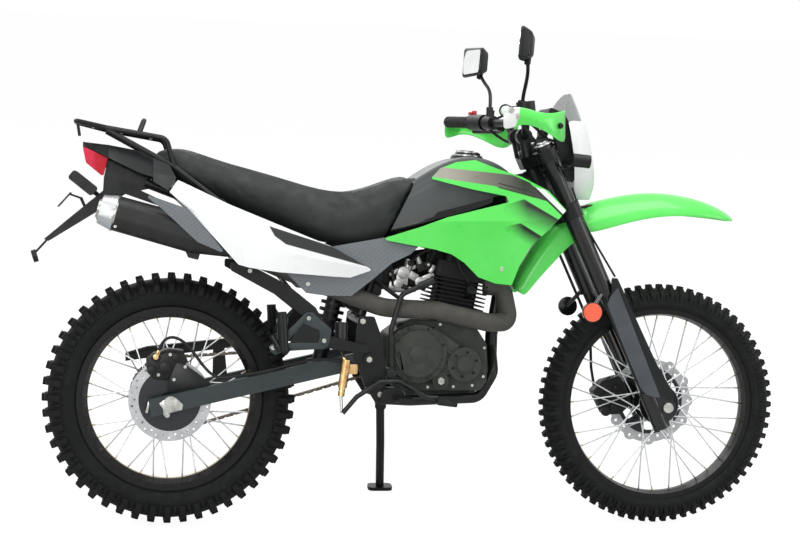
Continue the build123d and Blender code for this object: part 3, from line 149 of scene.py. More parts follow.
bpy.ops.object.select_all(action="DESELECT")
bpy.ops.mesh.primitive_plane_add(size=40, location=(0, 0, -0.0005))
floor = bpy.context.object
floor.name = "studio_floor"
paper = bpy.data.materials.new("matt_paper_sweep")
paper.use_nodes = True
tree = paper.node_tree
tree.nodes.clear()
grain = add_node(tree, "TexNoise", {"Scale": 30.0, "Detail": 2.0})
tone = add_node(tree, "MapRange", grain, 0.0, 1.0, 0.90, 0.92)
paper_shade = add_node(tree, "BsdfDiffuse", tone)
thin_shade = add_node(tree, "BsdfDiffuse", (0.24, 0.24, 0.24, 1))
glow = add_node(tree, "Emission", (1, 1, 1, 1), PAPER_GLOW)
ray = add_node(tree, "LightPath").node.outputs
lit = add_node(tree, "AddShader", thin_shade, glow)
add_node(tree, "OutputMaterial", add_node(tree, "MixShader", ray["Is Camera Ray"], paper_shade, lit))
floor.data.materials.append(paper)


# Knobby tyres: black natural rubber, cured in a mould and seated on the rims. Each carcass
# carries eight rows of bevelled blocks; the sidewall keeps the rings of the mould's turning.
def made_of(name, dark, pale, patch_mm, rough, grain_mm, grain_depth_mm, metal=0.0, specular=0.5, **values):
    """A finish: two tones in soft patches, uneven roughness and a fine relief.

    Returns its tree, its shader, the surface point of the upright machine in metres, the
    tone, and the material.
    """
    material = bpy.data.materials.new(name)
    material.use_nodes = True
    tree = material.node_tree
    tree.nodes.clear()
    where = add_node(tree, "TexCoord").node.outputs["Object"]
    place = add_node(tree, "Mapping", where, UPRIGHT.to_translation(), (LEAN, 0, 0))
    patches = add_node(tree, "TexNoise", {"Vector": place, "Scale": 1000 / patch_mm, "Detail": 3.0})
    share = add_node(tree, "MapRange", patches, 0.32, 0.68, 0.0, 1.0)
    tone = add_node(tree, "MixRGB", share, linear(dark), linear(pale))
    spread = add_node(tree, "TexNoise", {"Vector": place, "Scale": 2500 / patch_mm, "Detail": 2.0})
    roughness = add_node(tree, "MapRange", spread, 0.3, 0.7, rough * 0.85, min(1.0, rough * 1.2))
    grain = add_node(tree, "TexNoise", {"Vector": place, "Scale": 1000 / grain_mm, "Detail": 1.0})
    relief = add_node(tree, "Bump", {"Distance": grain_depth_mm / 1000, "Height": grain})
    shader = add_node(tree, "BsdfPrincipled", {
        "Base Color": tone, "Metallic": metal, "Roughness": roughness, "Normal": relief,
        "Specular IOR Level": specular, **values,
    })
    add_node(tree, "OutputMaterial", shader)
    return tree, shader.node, place, tone, material


def give(finish, *nodes):
    """Put one finish on whole CAD pieces."""
    for node in nodes:
        mesh = parts[node].data
        mesh.materials.clear()
        mesh.materials.append(finish[-1])
        for face in mesh.polygons:
            face.material_index = 0


def axle_distance(tree, place, axle):
    """Distance of the surface from a wheel's axle, seen along the axle, in metres."""
    offset = add_node(tree, "VectorMath", place, axle, operation="SUBTRACT")
    flat = add_node(tree, "VectorMath", offset, (1, 0, 1), operation="MULTIPLY")
    return add_node(tree, "VectorMath", flat, operation="LENGTH").node.outputs["Value"]


def pick(*pieces):
    """Deselect everything, then select these pieces, the first of them active."""
    bpy.ops.object.select_all(action="DESELECT")
    for piece in pieces:
        piece.select_set(True)
    if pieces:
        bpy.context.view_layer.objects.active = pieces[0]


def face_out():
    """Turn all faces of the active piece outward, and leave it in object mode."""
    bpy.ops.object.mode_set(mode="EDIT")
    bpy.ops.mesh.select_all(action="SELECT")
    bpy.ops.mesh.normals_make_consistent(inside=False)
    bpy.ops.object.mode_set(mode="OBJECT")


def settle(piece, name, finish, body):
    """Name a modelled piece, put its place into its mesh, dress it and fix it to its body."""
    pick(piece)
    bpy.ops.object.transform_apply(location=True, rotation=True, scale=True)
    piece.name = name
    piece.data.materials.clear()
    piece.data.materials.append(finish[-1])
    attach(piece, body)
    return piece


def block_row(count, phase, share, near, far):
    """Model one tread block in the open mesh and turn its copies round the axle.

    near and far are the block's two flanks: place across the tread, foot radius, tip radius, in mm.
    """
    bpy.ops.mesh.select_all(action="DESELECT")
    bpy.ops.mesh.primitive_cube_add(size=1)
    mesh = bmesh.from_edit_mesh(bpy.context.object.data)
    for corner in [v for v in mesh.verts if v.select]:
        across, foot, tip = near if corner.co.y < 0 else far
        reach = (tip if corner.co.z > 0 else foot) / 1000
        taper = 0.84 if corner.co.z > 0 else 1.0
        angle = math.tau / count * (phase + share * taper * corner.co.x)
        corner.co = (reach * math.sin(angle), across / 1000, reach * math.cos(angle))
    bmesh.update_edit_mesh(bpy.context.object.data)
    bpy.ops.mesh.bevel(offset=0.0013, segments=1, affect="EDGES")
    turned = math.tau * (count - 1) / count
    bpy.ops.mesh.spin(dupli=True, steps=count - 1, angle=turned, center=(0, 0, 0), axis=(0, 1, 0))


REAR_AXLE = Vector((0, 0, 0.3385))
RING_PITCH_MM = 3.0
# profile: half width and radius, from crown to bead; rows: number of blocks, phase, share of
# the pitch, then both flanks of a block
for tyre, body, axle, shoulder, profile, rows in (
    ("rear_tyre", "rear_wheel", REAR_AXLE, 0.292,
     ((0, 323), (18, 321.5), (32, 314.5), (43, 305), (50, 291),
      (53, 276), (52, 264), (46, 252), (36, 247), (33, 236)),
     ((48, 0.0, 0.50, (1.5, 317, 338.5), (17, 317, 337.8)),
      (48, 0.06, 0.46, (20, 313, 332), (34, 305, 326)),
      (48, 0.0, 0.44, (38, 300, 323), (55, 287, 309)),
      (48, 0.5, 0.24, (40, 296, 312), (54.5, 284, 299)))),
    ("front_tyre", "front_wheel", FRONT_AXLE, 0.296,
     ((0, 322), (14, 320.5), (24, 314), (33, 304.5), (40, 294),
      (43, 283), (42, 275), (37, 267), (29, 265), (27, 257)),
     ((68, 0.0, 0.52, (1.5, 316, 334), (13, 315, 333.4)),
      (68, 0.06, 0.46, (16, 311, 328), (27, 303, 322)),
      (68, 0.0, 0.44, (30, 298, 319), (43, 288, 306)),
      (68, 0.5, 0.24, (33, 292, 308), (43.5, 284, 297)))),
):
    pick()
    bpy.ops.mesh.primitive_plane_add(size=0.01)
    carcass = bpy.context.object
    bpy.ops.object.mode_set(mode="EDIT")
    mesh = bmesh.from_edit_mesh(carcass.data)
    bmesh.ops.delete(mesh, geom=mesh.verts[:], context="VERTS")
    full = [(-half, radius) for half, radius in reversed(profile[1:])] + list(profile)
    line = [mesh.verts.new((0, half / 1000, radius / 1000)) for half, radius in full]
    edges = [mesh.edges.new(pair) for pair in zip(line, line[1:] + line[:1])]
    for each in line + edges:
        each.select = True
    bmesh.update_edit_mesh(carcass.data)
    bpy.ops.mesh.spin(steps=120, angle=math.tau, center=(0, 0, 0), axis=(0, 1, 0))
    bpy.ops.mesh.select_all(action="SELECT")
    bpy.ops.mesh.remove_doubles(threshold=0.00005)
    for count, phase, share, near, far in rows:
        block_row(count, phase, share, near, far)
        mirrored = [(-across, foot, tip) for across, foot, tip in (far, near)]
        block_row(count, phase, share, *mirrored)
    face_out()
    bpy.ops.object.shade_smooth_by_angle(angle=math.radians(32))
    carcass.matrix_world = PARKED @ Matrix.Translation(axle)
    rubber = made_of(f"cured_rubber_{tyre}", "#0d0f0e", "#151716", 45, 0.62, 1.6, 0.12, specular=0.18)
    tree, shader, place, tone, _ = rubber
    radius = axle_distance(tree, place, axle)
    turns = add_node(tree, "Math", radius, 2000 * math.pi / RING_PITCH_MM, operation="MULTIPLY")
    rings = add_node(tree, "Math", turns, operation="SINE")
    sidewall = add_node(tree, "MapRange", radius, shoulder - 0.006, shoulder, 0.5, 0.0)
    carved = add_node(tree, "Math", rings, sidewall, operation="MULTIPLY")
    moulded = add_node(tree, "Bump", {"Distance": 0.0003, "Height": carved,
                                      "Normal": shader.inputs["Normal"].links[0].from_socket})
    tree.links.new(moulded, shader.inputs["Normal"])
    settle(carcass, f"knobby_{tyre}", rubber, body)
    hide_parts(tyre)


# Wheels: black anodised aluminium rims and cast hubs that turn on the axles, laced with
# bright stainless spokes in brass nipples. Each zone is told by its distance from the axle.
HUB_RADIUS, NIPPLE = 0.0555, 0.009
for wheel, axle, rim_from in (("rear_wheel", REAR_AXLE, 0.2175), ("front_wheel", FRONT_AXLE, 0.2452)):
    alloy = made_of(f"laced_alloy_{wheel}", "#0b0c0c", "#121313", 20, 0.3, 0.8, 0.03, specular=0.25)
    tree, shader, place, tone, _ = alloy
    radius = axle_distance(tree, place, axle)
    outside_hub = add_node(tree, "Math", radius, HUB_RADIUS, operation="GREATER_THAN")
    within_rim = add_node(tree, "Math", radius, rim_from, operation="LESS_THAN")
    spoke = add_node(tree, "Math", outside_hub, within_rim, operation="MULTIPLY")
    near_rim = add_node(tree, "Math", radius, rim_from - NIPPLE, operation="GREATER_THAN")
    bright = add_node(tree, "MixRGB", near_rim, linear("#d3d5d6"), linear("#b0a184"))
    tree.links.new(add_node(tree, "MixRGB", spoke, tone, bright), shader.inputs["Base Color"])
    tree.links.new(spoke, shader.inputs["Metallic"])
    give(alloy, wheel)

# Brake discs: stainless rings, ground in circles and riveted to dark carriers, which are
# bolted to the hubs.
for disc, axle, ring_from in (("rear_disc", REAR_AXLE, 0.083), ("front_disc", FRONT_AXLE, 0.094)):
    steel = made_of(f"ground_stainless_{disc}", "#b9bbbc", "#d6d8d8", 24, 0.3, 0.6, 0.02, metal=1.0)
    tree, shader, place, tone, _ = steel
    radius = axle_distance(tree, place, axle)
    swept_line = add_node(tree, "CombineXYZ", radius)
    circles = add_node(tree, "TexNoise", {"Vector": swept_line, "Scale": 1500.0, "Detail": 4.0})
    swept = add_node(tree, "MixRGB", circles, linear("#a4a6a7"), tone)
    ring = add_node(tree, "Math", radius, ring_from, operation="GREATER_THAN")
    tree.links.new(add_node(tree, "MixRGB", ring, linear("#3c3e40"), swept), shader.inputs["Base Color"])
    tree.links.new(add_node(tree, "MapRange", circles, 0.3, 0.7, 0.24, 0.42), shader.inputs["Roughness"])
    give(steel, disc)

# Axles, sprocket and chain: zinc plated steel, passivated pale grey, bolted through
# swingarm, fork feet and hub. The chain is oiled steel and runs on its sprockets.
zinc = made_of("zinc_plated_steel", "#a5a6a1", "#d0d0ca", 14, 0.3, 0.7, 0.04, metal=1.0)
oiled = made_of("oiled_chain_steel", "#4a453d", "#857d70", 8, 0.38, 0.7, 0.05, metal=1.0)
give(zinc, "rear_axle", "front_axle", "rear_sprocket")
give(oiled, "chain")

# Frame, rack, stand, bars and clamps: steel tube and plate, welded and bolted, in black
# powder coat with a slight orange peel. The swingarm on its pivot is coated slate grey, the
# front caliper is enamelled, and pedals and levers on their shafts are oxidised black.
black_coat = made_of("black_powder_coat", "#0d0e0f", "#151617", 60, 0.34, 2.2, 0.05, specular=0.3)
slate_coat = made_of("slate_powder_coat", "#2f3637", "#384041", 60, 0.42, 2.2, 0.05, specular=0.3)
give(black_coat, "main_frame", "rear_subframe", "rear_rack", "side_stand", "foot_pegs", "rear_shock",
     "handlebar", "fork_clamps")
give(slate_coat, "swingarm")
give(made_of("black_caliper_coat", "#0f1011", "#181919", 20, 0.45, 1.0, 0.08, specular=0.3), "front_caliper")
black_oxide = made_of("black_oxide_steel", "#1d1e1f", "#2b2c2d", 14, 0.38, 0.7, 0.03, metal=0.6)
give(black_oxide, "brake_pedal", "kick_lever", "gear_lever")

# Engine: sand-cast aluminium under a warm dark grey paint, finely pitted, bolted into the
# cradle. The barrel's fins are matt black.
cast = made_of("sand_cast_cases", "#2b2f2a", "#3a3e38", 30, 0.5, 1.4, 0.14, specular=0.3)
fin_black = made_of("matt_black_fins", "#0a0b0b", "#121313", 30, 0.55, 1.4, 0.1, specular=0.25)
give(cast, "engine_case")
give(fin_black, "cylinder")

# Moulded black parts: air box, mudguard, chain guard, dash, switch boxes and indicators.
# They are polypropylene with a fine etched grain, screwed to frame and bars.
black_plastic = made_of("black_polypropylene", "#121314", "#1a1b1c", 80, 0.42, 0.9, 0.04, specular=0.3)
give(black_plastic, "intake", "rear_mudguard", "chain_guard", "instrument_panel", "hand_controls",
     "front_indicators")

# Exhaust: steel pipe in heat-proof matt black, bolted to the head, and a satin black
# silencer with a bright steel end cap, hung from the subframe. Places in mm, x and z.
heatproof = made_of("heatproof_black", "#43423f", "#504f4b", 40, 0.6, 1.2, 0.06, specular=0.3)
give(heatproof, "exhaust_header")
can = made_of("satin_black_can", "#1b1c1b", "#252625", 50, 0.42, 0.9, 0.04, specular=0.3)
tree, shader, place, tone, _ = can
MUFFLER_TAIL = (-168, 838)
MUFFLER_WAY = (0.968, -0.250)
END_CAP_MM = 14
along = add_node(tree, "VectorMath", place, (MUFFLER_WAY[0], 0, MUFFLER_WAY[1]), operation="DOT_PRODUCT")
cap_edge = (MUFFLER_TAIL[0] * MUFFLER_WAY[0] + MUFFLER_TAIL[1] * MUFFLER_WAY[1] + END_CAP_MM) / 1000
cap = add_node(tree, "Math", along.node.outputs["Value"], cap_edge, operation="LESS_THAN")
tree.links.new(add_node(tree, "MixRGB", cap, tone, linear("#b4b7ba")), shader.inputs["Base Color"])
tree.links.new(cap, shader.inputs["Metallic"])
give(can, "muffler")


# Front fender: a blade and a rear flap, moulded in gloss green plastic and screwed to a
# black mount under the lower fork clamp. Rows run from the right edge over the crown.
def reshape(piece, kind, **settings):
    """Give the active piece a modifier with its settings, and apply it."""
    modifier = piece.modifiers.new(kind, kind)
    for name, value in settings.items():
        setattr(modifier, name, value)
    bpy.ops.object.modifier_apply(modifier=modifier.name)


def skin(name, rows, wall_mm, finish, body, window=()):
    """A bowed skin: a grid drawn over rows of points in mm, then given its wall and rounded.

    window holds the grid faces, counted along each row in turn, that are left open.
    """
    pick()
    bpy.ops.mesh.primitive_grid_add(x_subdivisions=len(rows[0]) - 1, y_subdivisions=len(rows) - 1, size=1)
    piece = bpy.context.object
    for vertex, point in zip(piece.data.vertices, [point for row in rows for point in row]):
        vertex.co = Vector(point) / 1000
    if window:
        bpy.ops.object.mode_set(mode="EDIT")
        bpy.ops.mesh.select_all(action="DESELECT")
        bpy.ops.object.mode_set(mode="OBJECT")
        for number in window:
            piece.data.polygons[number].select = True
        bpy.ops.object.mode_set(mode="EDIT")
        bpy.ops.mesh.select_mode(type="FACE")
        bpy.ops.mesh.delete(type="FACE")
        bpy.ops.mesh.select_mode(type="VERT")
        bpy.ops.object.mode_set(mode="OBJECT")
    reshape(piece, "SOLIDIFY", thickness=wall_mm / 1000, offset=0)
    reshape(piece, "SUBSURF", levels=3, render_levels=3)
    face_out()
    bpy.ops.object.shade_smooth()
    piece.matrix_world = PARKED
    return settle(piece, name, finish, body)


def both_sides(right, middle):
    """A row of points from the right side over the middle to the left side."""
    return [*right, middle, *[(x, -y, z) for x, y, z in reversed(right)]]


def ease(piece, edge_mm, segments=2, angle=40):
    """Bevel the active piece's edges that turn by more than an angle in degrees."""
    reshape(piece, "BEVEL", width=edge_mm / 1000, segments=segments, angle_limit=math.radians(angle))


def lump(shape, place, size, turned=(0, 0, 0), edge=1.5):
    """A box or drum with rounded edges: place and size in mm, then its turn in degrees."""
    pick()
    if shape == "drum":
        bpy.ops.mesh.primitive_cylinder_add(vertices=36, radius=0.5, depth=1)
    else:
        bpy.ops.mesh.primitive_cube_add(size=1)
    piece = bpy.context.object
    piece.scale = Vector(size) / 1000
    bpy.ops.object.transform_apply(location=False, rotation=False, scale=True)
    ease(piece, edge)
    heading = Euler([math.radians(angle) for angle in turned]).to_matrix().to_4x4()
    piece.matrix_world = PARKED @ Matrix.Translation(Vector(place) / 1000) @ heading
    return piece


def assemble(name, lumps, finish, body):
    """Join lumps into one named piece."""
    pick(*lumps)
    if len(lumps) > 1:
        bpy.ops.object.join()
    bpy.ops.object.shade_smooth_by_angle(angle=math.radians(35))
    return settle(lumps[0], name, finish, body)


GREEN = ("#5ae45b", "#66ec68")
GLOSS = {"Coat Weight": 0.35, "Coat Roughness": 0.06, "Specular IOR Level": 0.4}
green_plastic = made_of("green_abs", *GREEN, 120, 0.3, 9.0, 0.003, **GLOSS)
fender_rows = []
for x, half, edge, shoulder, crown in (
    (1126, 67, 806, 846, 878), (1160, 71, 812, 858, 890), (1210, 77, 828, 872, 903),
    (1290, 81, 850, 890, 918), (1362, 81, 859, 895, 918), (1440, 72, 858, 886, 907),
    (1510, 53, 852, 871, 884), (1547, 30, 847, 855, 862), (1556, 12, 847, 851, 855),
):
    right = [(x, -half, edge), (x, -half * 0.98, (edge + shoulder) / 2), (x, -half * 0.84, shoulder),
             (x, -half * 0.4, crown)]
    fender_rows.append(both_sides(right, (x, 0, crown + 2)))
fender = skin("front_fender_blade", fender_rows, 4, green_plastic, "steering")
flap_rows = []
for half, spine, lip in (
    (67, (1130, 872), (1130, 806)), (67, (1084, 860), (1104, 788)), (66, (1040, 830), (1072, 764)),
    (66, (1006, 778), (1044, 732)), (65, (966, 718), (1002, 686)), (62, (940, 668), (974, 650)),
    (58, (934, 645), (958, 630)),
):
    middle = (spine[0] * 0.45 + lip[0] * 0.55, spine[1] * 0.45 + lip[1] * 0.55)
    right = [(lip[0], -half, lip[1]), (middle[0], -half, middle[1]), (spine[0], -half * 0.86, spine[1]),
             (spine[0] - 3, -half * 0.4, spine[1] + 3)]
    flap_rows.append(both_sides(right, (spine[0] - 4, 0, spine[1] + 4)))
skin("front_fender_flap", flap_rows, 4, green_plastic, "steering")
assemble("front_fender_mount", [
    lump("drum", (1081, 0, 837), (50, 50, 44), (0, -25, 0), 4),
    lump("box", (1098, 0, 868), (110, 60, 10), (0, -14, 0), 3),
], black_plastic, "steering")
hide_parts("front_fender")


# Headlamp mask: one moulding of gloss white plastic round the lamp's opening, clipped to
# the fork clamps. Rows run up from its chin.
def level_rows(*stations):
    """Rows of points in mm: each a height, then widths and places forward from side to middle."""
    rows = []
    for z, ys, xs in stations:
        right = [(x, -y, z) for x, y in zip(xs, ys)]
        rows.append(both_sides(right[:-1], right[-1]))
    return rows


WHITE = ("#e9ebeb", "#eff1f1")
white_plastic = made_of("white_abs", *WHITE, 120, 0.3, 9.0, 0.003, **GLOSS)
mask_rows = level_rows(
    (896, (47, 38, 19, 0), (1086, 1122, 1142, 1144)), (930, (72, 60, 40, 0), (1083, 1125, 1150, 1153)),
    (962, (93, 79, 61, 0), (1079, 1126, 1145, 1156)), (1016, (106, 88, 65, 0), (1073, 1118, 1137, 1150)),
    (1070, (98, 83, 61, 0), (1065, 1104, 1124, 1137)), (1092, (93, 76, 40, 0), (1062, 1098, 1126, 1129)),
    (1113, (85, 68, 36, 0), (1058, 1090, 1116, 1118)),
)
LAMP_FACES = (14, 15, 20, 21)
mask = skin("headlight_surround", mask_rows, 4, white_plastic, "steering", window=LAMP_FACES)
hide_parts("headlight_mask")

# Tail cowl: black plastic with a soft sheen, screwed to the subframe behind the seat.
# It carries the lamp.
give(made_of("black_abs_cowl", "#131516", "#1b1e1f", 120, 0.34, 9.0, 0.003, specular=0.3), "tail_cowl")


# Tank shrouds: green plastic, each held to the tank by a boss behind it. Their outer faces
# are printed with a taupe band along the upper arm, pinstripes at its tip and two black fades.
def beyond(tree, place, start, end, soft_mm=0.8):
    """1 on the left of the side-view line from start to end, 0 on its right, in millimetres."""
    length = math.hypot(end[0] - start[0], end[1] - start[1])
    nx, nz = -(end[1] - start[1]) / length, (end[0] - start[0]) / length
    reach = add_node(tree, "VectorMath", place, (nx, 0, nz), operation="DOT_PRODUCT").node.outputs["Value"]
    edge = (start[0] * nx + start[1] * nz) / 1000
    return add_node(tree, "MapRange", reach, edge - soft_mm / 1000, edge + soft_mm / 1000, 0.0, 1.0)


def printed(tree, colour, ink, *shares):
    """Print an ink over a colour where all of the shares meet."""
    meet = shares[0]
    for share in shares[1:]:
        meet = add_node(tree, "Math", meet, share, operation="MULTIPLY")
    return add_node(tree, "MixRGB", meet, colour, ink)


for side, hand in ((-1, "right"), (1, "left")):
    shroud = made_of(f"green_abs_shroud_{hand}", *GREEN, 120, 0.3, 9.0, 0.003, **GLOSS)
    tree, shader, place, tone, _ = shroud
    facing = add_node(tree, "TexCoord").node.outputs["Normal"]
    away = tuple(PARKED.to_3x3() @ Vector((0, side, 0)))
    outer = add_node(tree, "VectorMath", facing, away, operation="DOT_PRODUCT")
    outer = add_node(tree, "Math", outer.node.outputs["Value"], 0.3, operation="GREATER_THAN")
    reach = add_node(tree, "SeparateXYZ", place)
    colour = tone
    # taupe band that darkens forward, kept off the panel's upper and lower rims
    forward = add_node(tree, "MapRange", reach, 0.72, 0.93, 0.0, 1.0)
    taupe = add_node(tree, "MixRGB", forward, linear("#a9a699"), linear("#33352f"))
    low_rim = add_node(tree, "Math", beyond(tree, place, (681, 949), (846, 929)),
                       beyond(tree, place, (846, 929), (982, 893)), operation="MAXIMUM")
    rims = [beyond(tree, place, start, end) for start, end in (
        ((898, 959), (702, 976)), ((1012, 912), (898, 959)), ((1060, 858), (1012, 912)),
        ((702, 976), (681, 949)), ((1008, 872), (954, 929)),
    )]
    colour = printed(tree, colour, taupe, outer, low_rim, *rims)
    # white stripe down to the tip with a black line under it, and two short black dashes
    for start, end, wide, ink, first, last in (
        ((948, 930), (1040, 843), 6, "#101211", 0.90, 1.06),
        ((954, 932), (1046, 845), 13, "#f4f5f5", 0.90, 1.06),
        ((859, 924), (955, 900), 3, "#101211", 0.86, 0.956),
        ((859, 935), (957, 911), 3, "#101211", 0.86, 0.956),
    ):
        past = add_node(tree, "Math", reach, first, operation="GREATER_THAN")
        short = add_node(tree, "Math", reach, last, operation="LESS_THAN")
        over = [(x + wide * 0.7, z + wide * 0.7) for x, z in (end, start)]
        rims = [beyond(tree, place, *line) for line in ((start, end), over, ((1060, 905), (700, 985)))]
        colour = printed(tree, colour, linear(ink), outer, past, short, *rims)
    # black fades: sharp along the top, dying away rearward and below
    for top_from, top_to, roof_to, low_to, low_from, tip_low, tip_high, grow, soft, ink in (
        ((862, 874), (927, 895), (1046, 828), (1046, 801), (880, 876), (1000, 782), (1058, 850),
         (0.862, 0.935), 26, "#171918"),
        ((838, 812), (916, 831), (994, 786), (990, 764), (860, 835), (953, 764), (994, 802),
         (0.845, 0.925), 16, "#141615"),
    ):
        fade = add_node(tree, "MapRange", reach, *grow, 0.0, 1.0)
        rims = [beyond(tree, place, *line) for line in (
            (roof_to, top_to), (top_to, top_from), (low_from, low_to, soft), (tip_low, tip_high, 3),
        )]
        colour = printed(tree, colour, linear(ink), outer, fade, *rims)
    tree.links.new(colour, shader.inputs["Base Color"])
    give(shroud, f"tank_shroud_{hand}")

# Side panels: white plastic, each held to the subframe by a boss behind it, with a dark wedge
# printed beside the seat. Its corners run forward along its lower side and back above.
WEDGE = ((247, 809), (262, 783), (292, 762), (512, 706), (422, 756))
for hand in ("right", "left"):
    panel = made_of(f"white_abs_side_{hand}", *WHITE, 120, 0.3, 9.0, 0.003, **GLOSS)
    tree, shader, place, tone, _ = panel
    rims = [beyond(tree, place, start, end) for start, end in zip(WEDGE, WEDGE[1:] + WEDGE[:1])]
    colour = printed(tree, tone, linear("#1b1d1d"), *rims)
    tree.links.new(colour, shader.inputs["Base Color"])
    give(panel, f"side_panel_{hand}")

# Frame covers and heat shield: plastic printed with a twill weave under lacquer, held to the
# subframe and the silencer. The tows are 3 mm wide, coarser than real, so that they show.
TOW_MM = 3.0
weave = made_of("carbon_print", "#3a3f42", "#474c50", 90, 0.3, 5.0, 0.01,
                **{"Coat Weight": 0.5, "Coat Roughness": 0.1})
tree, shader, place, tone, _ = weave
waves = []
for way, pitch in (((1000 / TOW_MM, 0, 1000 / TOW_MM), 1.4), ((1500 / TOW_MM, 0, -500 / TOW_MM), 2.8)):
    reach = add_node(tree, "VectorMath", place, way, operation="DOT_PRODUCT").node.outputs["Value"]
    reach = add_node(tree, "Math", reach, math.tau / pitch, operation="MULTIPLY")
    waves.append(add_node(tree, "Math", reach, operation="SINE"))
tow = add_node(tree, "Math", *waves, operation="MULTIPLY")
tow = add_node(tree, "MapRange", tow, -0.5, 0.5, 0.0, 1.0)
tree.links.new(add_node(tree, "MixRGB", tow, tone, linear("#7d8388")), shader.inputs["Base Color"])
tree.links.new(add_node(tree, "MapRange", tow, 0.0, 1.0, 0.26, 0.4), shader.inputs["Roughness"])
give(weave, "heat_shield", "frame_cover_right", "frame_cover_left")

# Fuel tank: pressed steel on the frame's spine, in dark metallic grey lacquer with a glossy
# black flash under the shroud's upper arm. Its cap has a black collar and polished rings.
tank_paint = made_of("grey_metallic_lacquer", "#404444", "#4b4f4f", 90, 0.36, 3.0, 0.01, specular=0.35)
tree, shader, place, tone, _ = tank_paint
scoop = add_node(tree, "Math", beyond(tree, place, (855, 899), (700, 855), 1.0),
                 beyond(tree, place, (700, 855), (679, 829), 1.0), operation="MULTIPLY")
strip = beyond(tree, place, (700, 846), (520, 786), 1.0)
glossy = add_node(tree, "Math", scoop, strip, operation="MAXIMUM")
tree.links.new(add_node(tree, "MixRGB", glossy, tone, linear("#060707")), shader.inputs["Base Color"])
tree.links.new(add_node(tree, "MapRange", glossy, 0.0, 1.0, 0.36, 0.08), shader.inputs["Roughness"])
give(tank_paint, "fuel_tank")
polished = made_of("polished_cap_chrome", "#b9bbbc", "#d8d9d9", 12, 0.16, 1.0, 0.01, metal=1.0)
black_gloss = made_of("black_abs", "#0b0c0d", "#121314", 120, 0.16, 9.0, 0.003, **GLOSS)
collar = assemble("tank_cap_collar", [
    lump("drum", (799, 0, 1001), (90, 90, 16), (0, 3, 0), 4),
    lump("drum", (801, 0, 1012), (70, 70, 14), (0, 3, 0), 3),
    lump("box", (797, 0, 1021), (40, 16, 7), (0, 3, 0), 2.5),
], black_gloss, "chassis")
assemble("tank_cap_ring", [
    lump("drum", (800, 0, 1010), (84, 84, 4), (0, 3, 0), 1.5),
    lump("drum", (801, 0, 1019), (64, 64, 4), (0, 3, 0), 1.5),
    lump("box", (776, 0, 1023), (12, 20, 6), (0, 3, 0), 2),
], polished, "chassis")
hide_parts("tank_cap")


# Seat: moulded foam under a cover of stretched, grained vinyl, on a base that hooks to the
# frame. The cover swells a little between its edges.
def welded_copy(node, name, gap_mm, flat_degrees=0):
    """A piece of its own from a CAD piece's mesh: doubled corners welded, flat faces merged."""
    piece = bpy.data.objects.new(name, parts[node].data.copy())
    bpy.context.scene.collection.objects.link(piece)
    pick(piece)
    bpy.ops.object.mode_set(mode="EDIT")
    bpy.ops.mesh.select_all(action="SELECT")
    bpy.ops.mesh.remove_doubles(threshold=gap_mm / 1000)
    if flat_degrees:
        bpy.ops.mesh.dissolve_limited(angle_limit=math.radians(flat_degrees))
    bpy.ops.object.mode_set(mode="OBJECT")
    return piece


saddle = welded_copy("seat", "saddle", 0.1)
reshape(saddle, "REMESH", mode="VOXEL", voxel_size=0.006)
reshape(saddle, "SMOOTH", factor=0.5, iterations=14)
FOAM_SWELL = 0.005
SWELL_FRAMES = 14
before = [v.co.copy() for v in saddle.data.vertices]
cloth = saddle.modifiers.new("stretched_cover", "CLOTH")
cloth.settings.use_pressure = True
cloth.settings.uniform_pressure_force = 3.0
cloth.settings.tension_stiffness = 25
cloth.settings.compression_stiffness = 25
cloth.settings.effector_weights.gravity = 0
cloth.point_cache.frame_start = 1
cloth.point_cache.frame_end = SWELL_FRAMES
for step in range(1, SWELL_FRAMES + 1):
    bpy.context.scene.frame_set(step)
bpy.ops.object.modifier_apply(modifier=cloth.name)
bpy.context.scene.frame_set(1)
for vertex, start in zip(saddle.data.vertices, before):
    move = vertex.co - start
    if move.length > FOAM_SWELL:
        vertex.co = start + move * (FOAM_SWELL / move.length)
reshape(saddle, "SUBSURF", levels=1, render_levels=1)
bpy.ops.object.shade_smooth()
vinyl = made_of("grained_vinyl", "#1c201e", "#262b28", 70, 0.6, 1.2, 0.02, specular=0.4)
tree, shader, place, tone, _ = vinyl
cells = add_node(tree, "TexVoronoi", {"Vector": place, "Scale": 1000 / 1.8}, feature="DISTANCE_TO_EDGE")
creases = add_node(tree, "MapRange", cells, 0.0, 0.2, 0.0, 1.0)
tree.links.new(add_node(tree, "Bump", {"Distance": 0.00012, "Height": creases}), shader.inputs["Normal"])
settle(saddle, "saddle", vinyl, "chassis")
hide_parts("seat")

# Tail lamp: red acrylic, moulded with a paler face at its rear end and clipped into the
# cowl.
red = made_of("red_acrylic", "#cc0522", "#d90f30", 30, 0.2, 4.0, 0.01, specular=0.2)
tree, shader, place, tone, _ = red
facet = beyond(tree, place, (-210, 990), (-204, 923), 1.5)
tree.links.new(add_node(tree, "MixRGB", facet, linear("#e2244a"), tone), shader.inputs["Base Color"])
give(red, "tail_lamp")

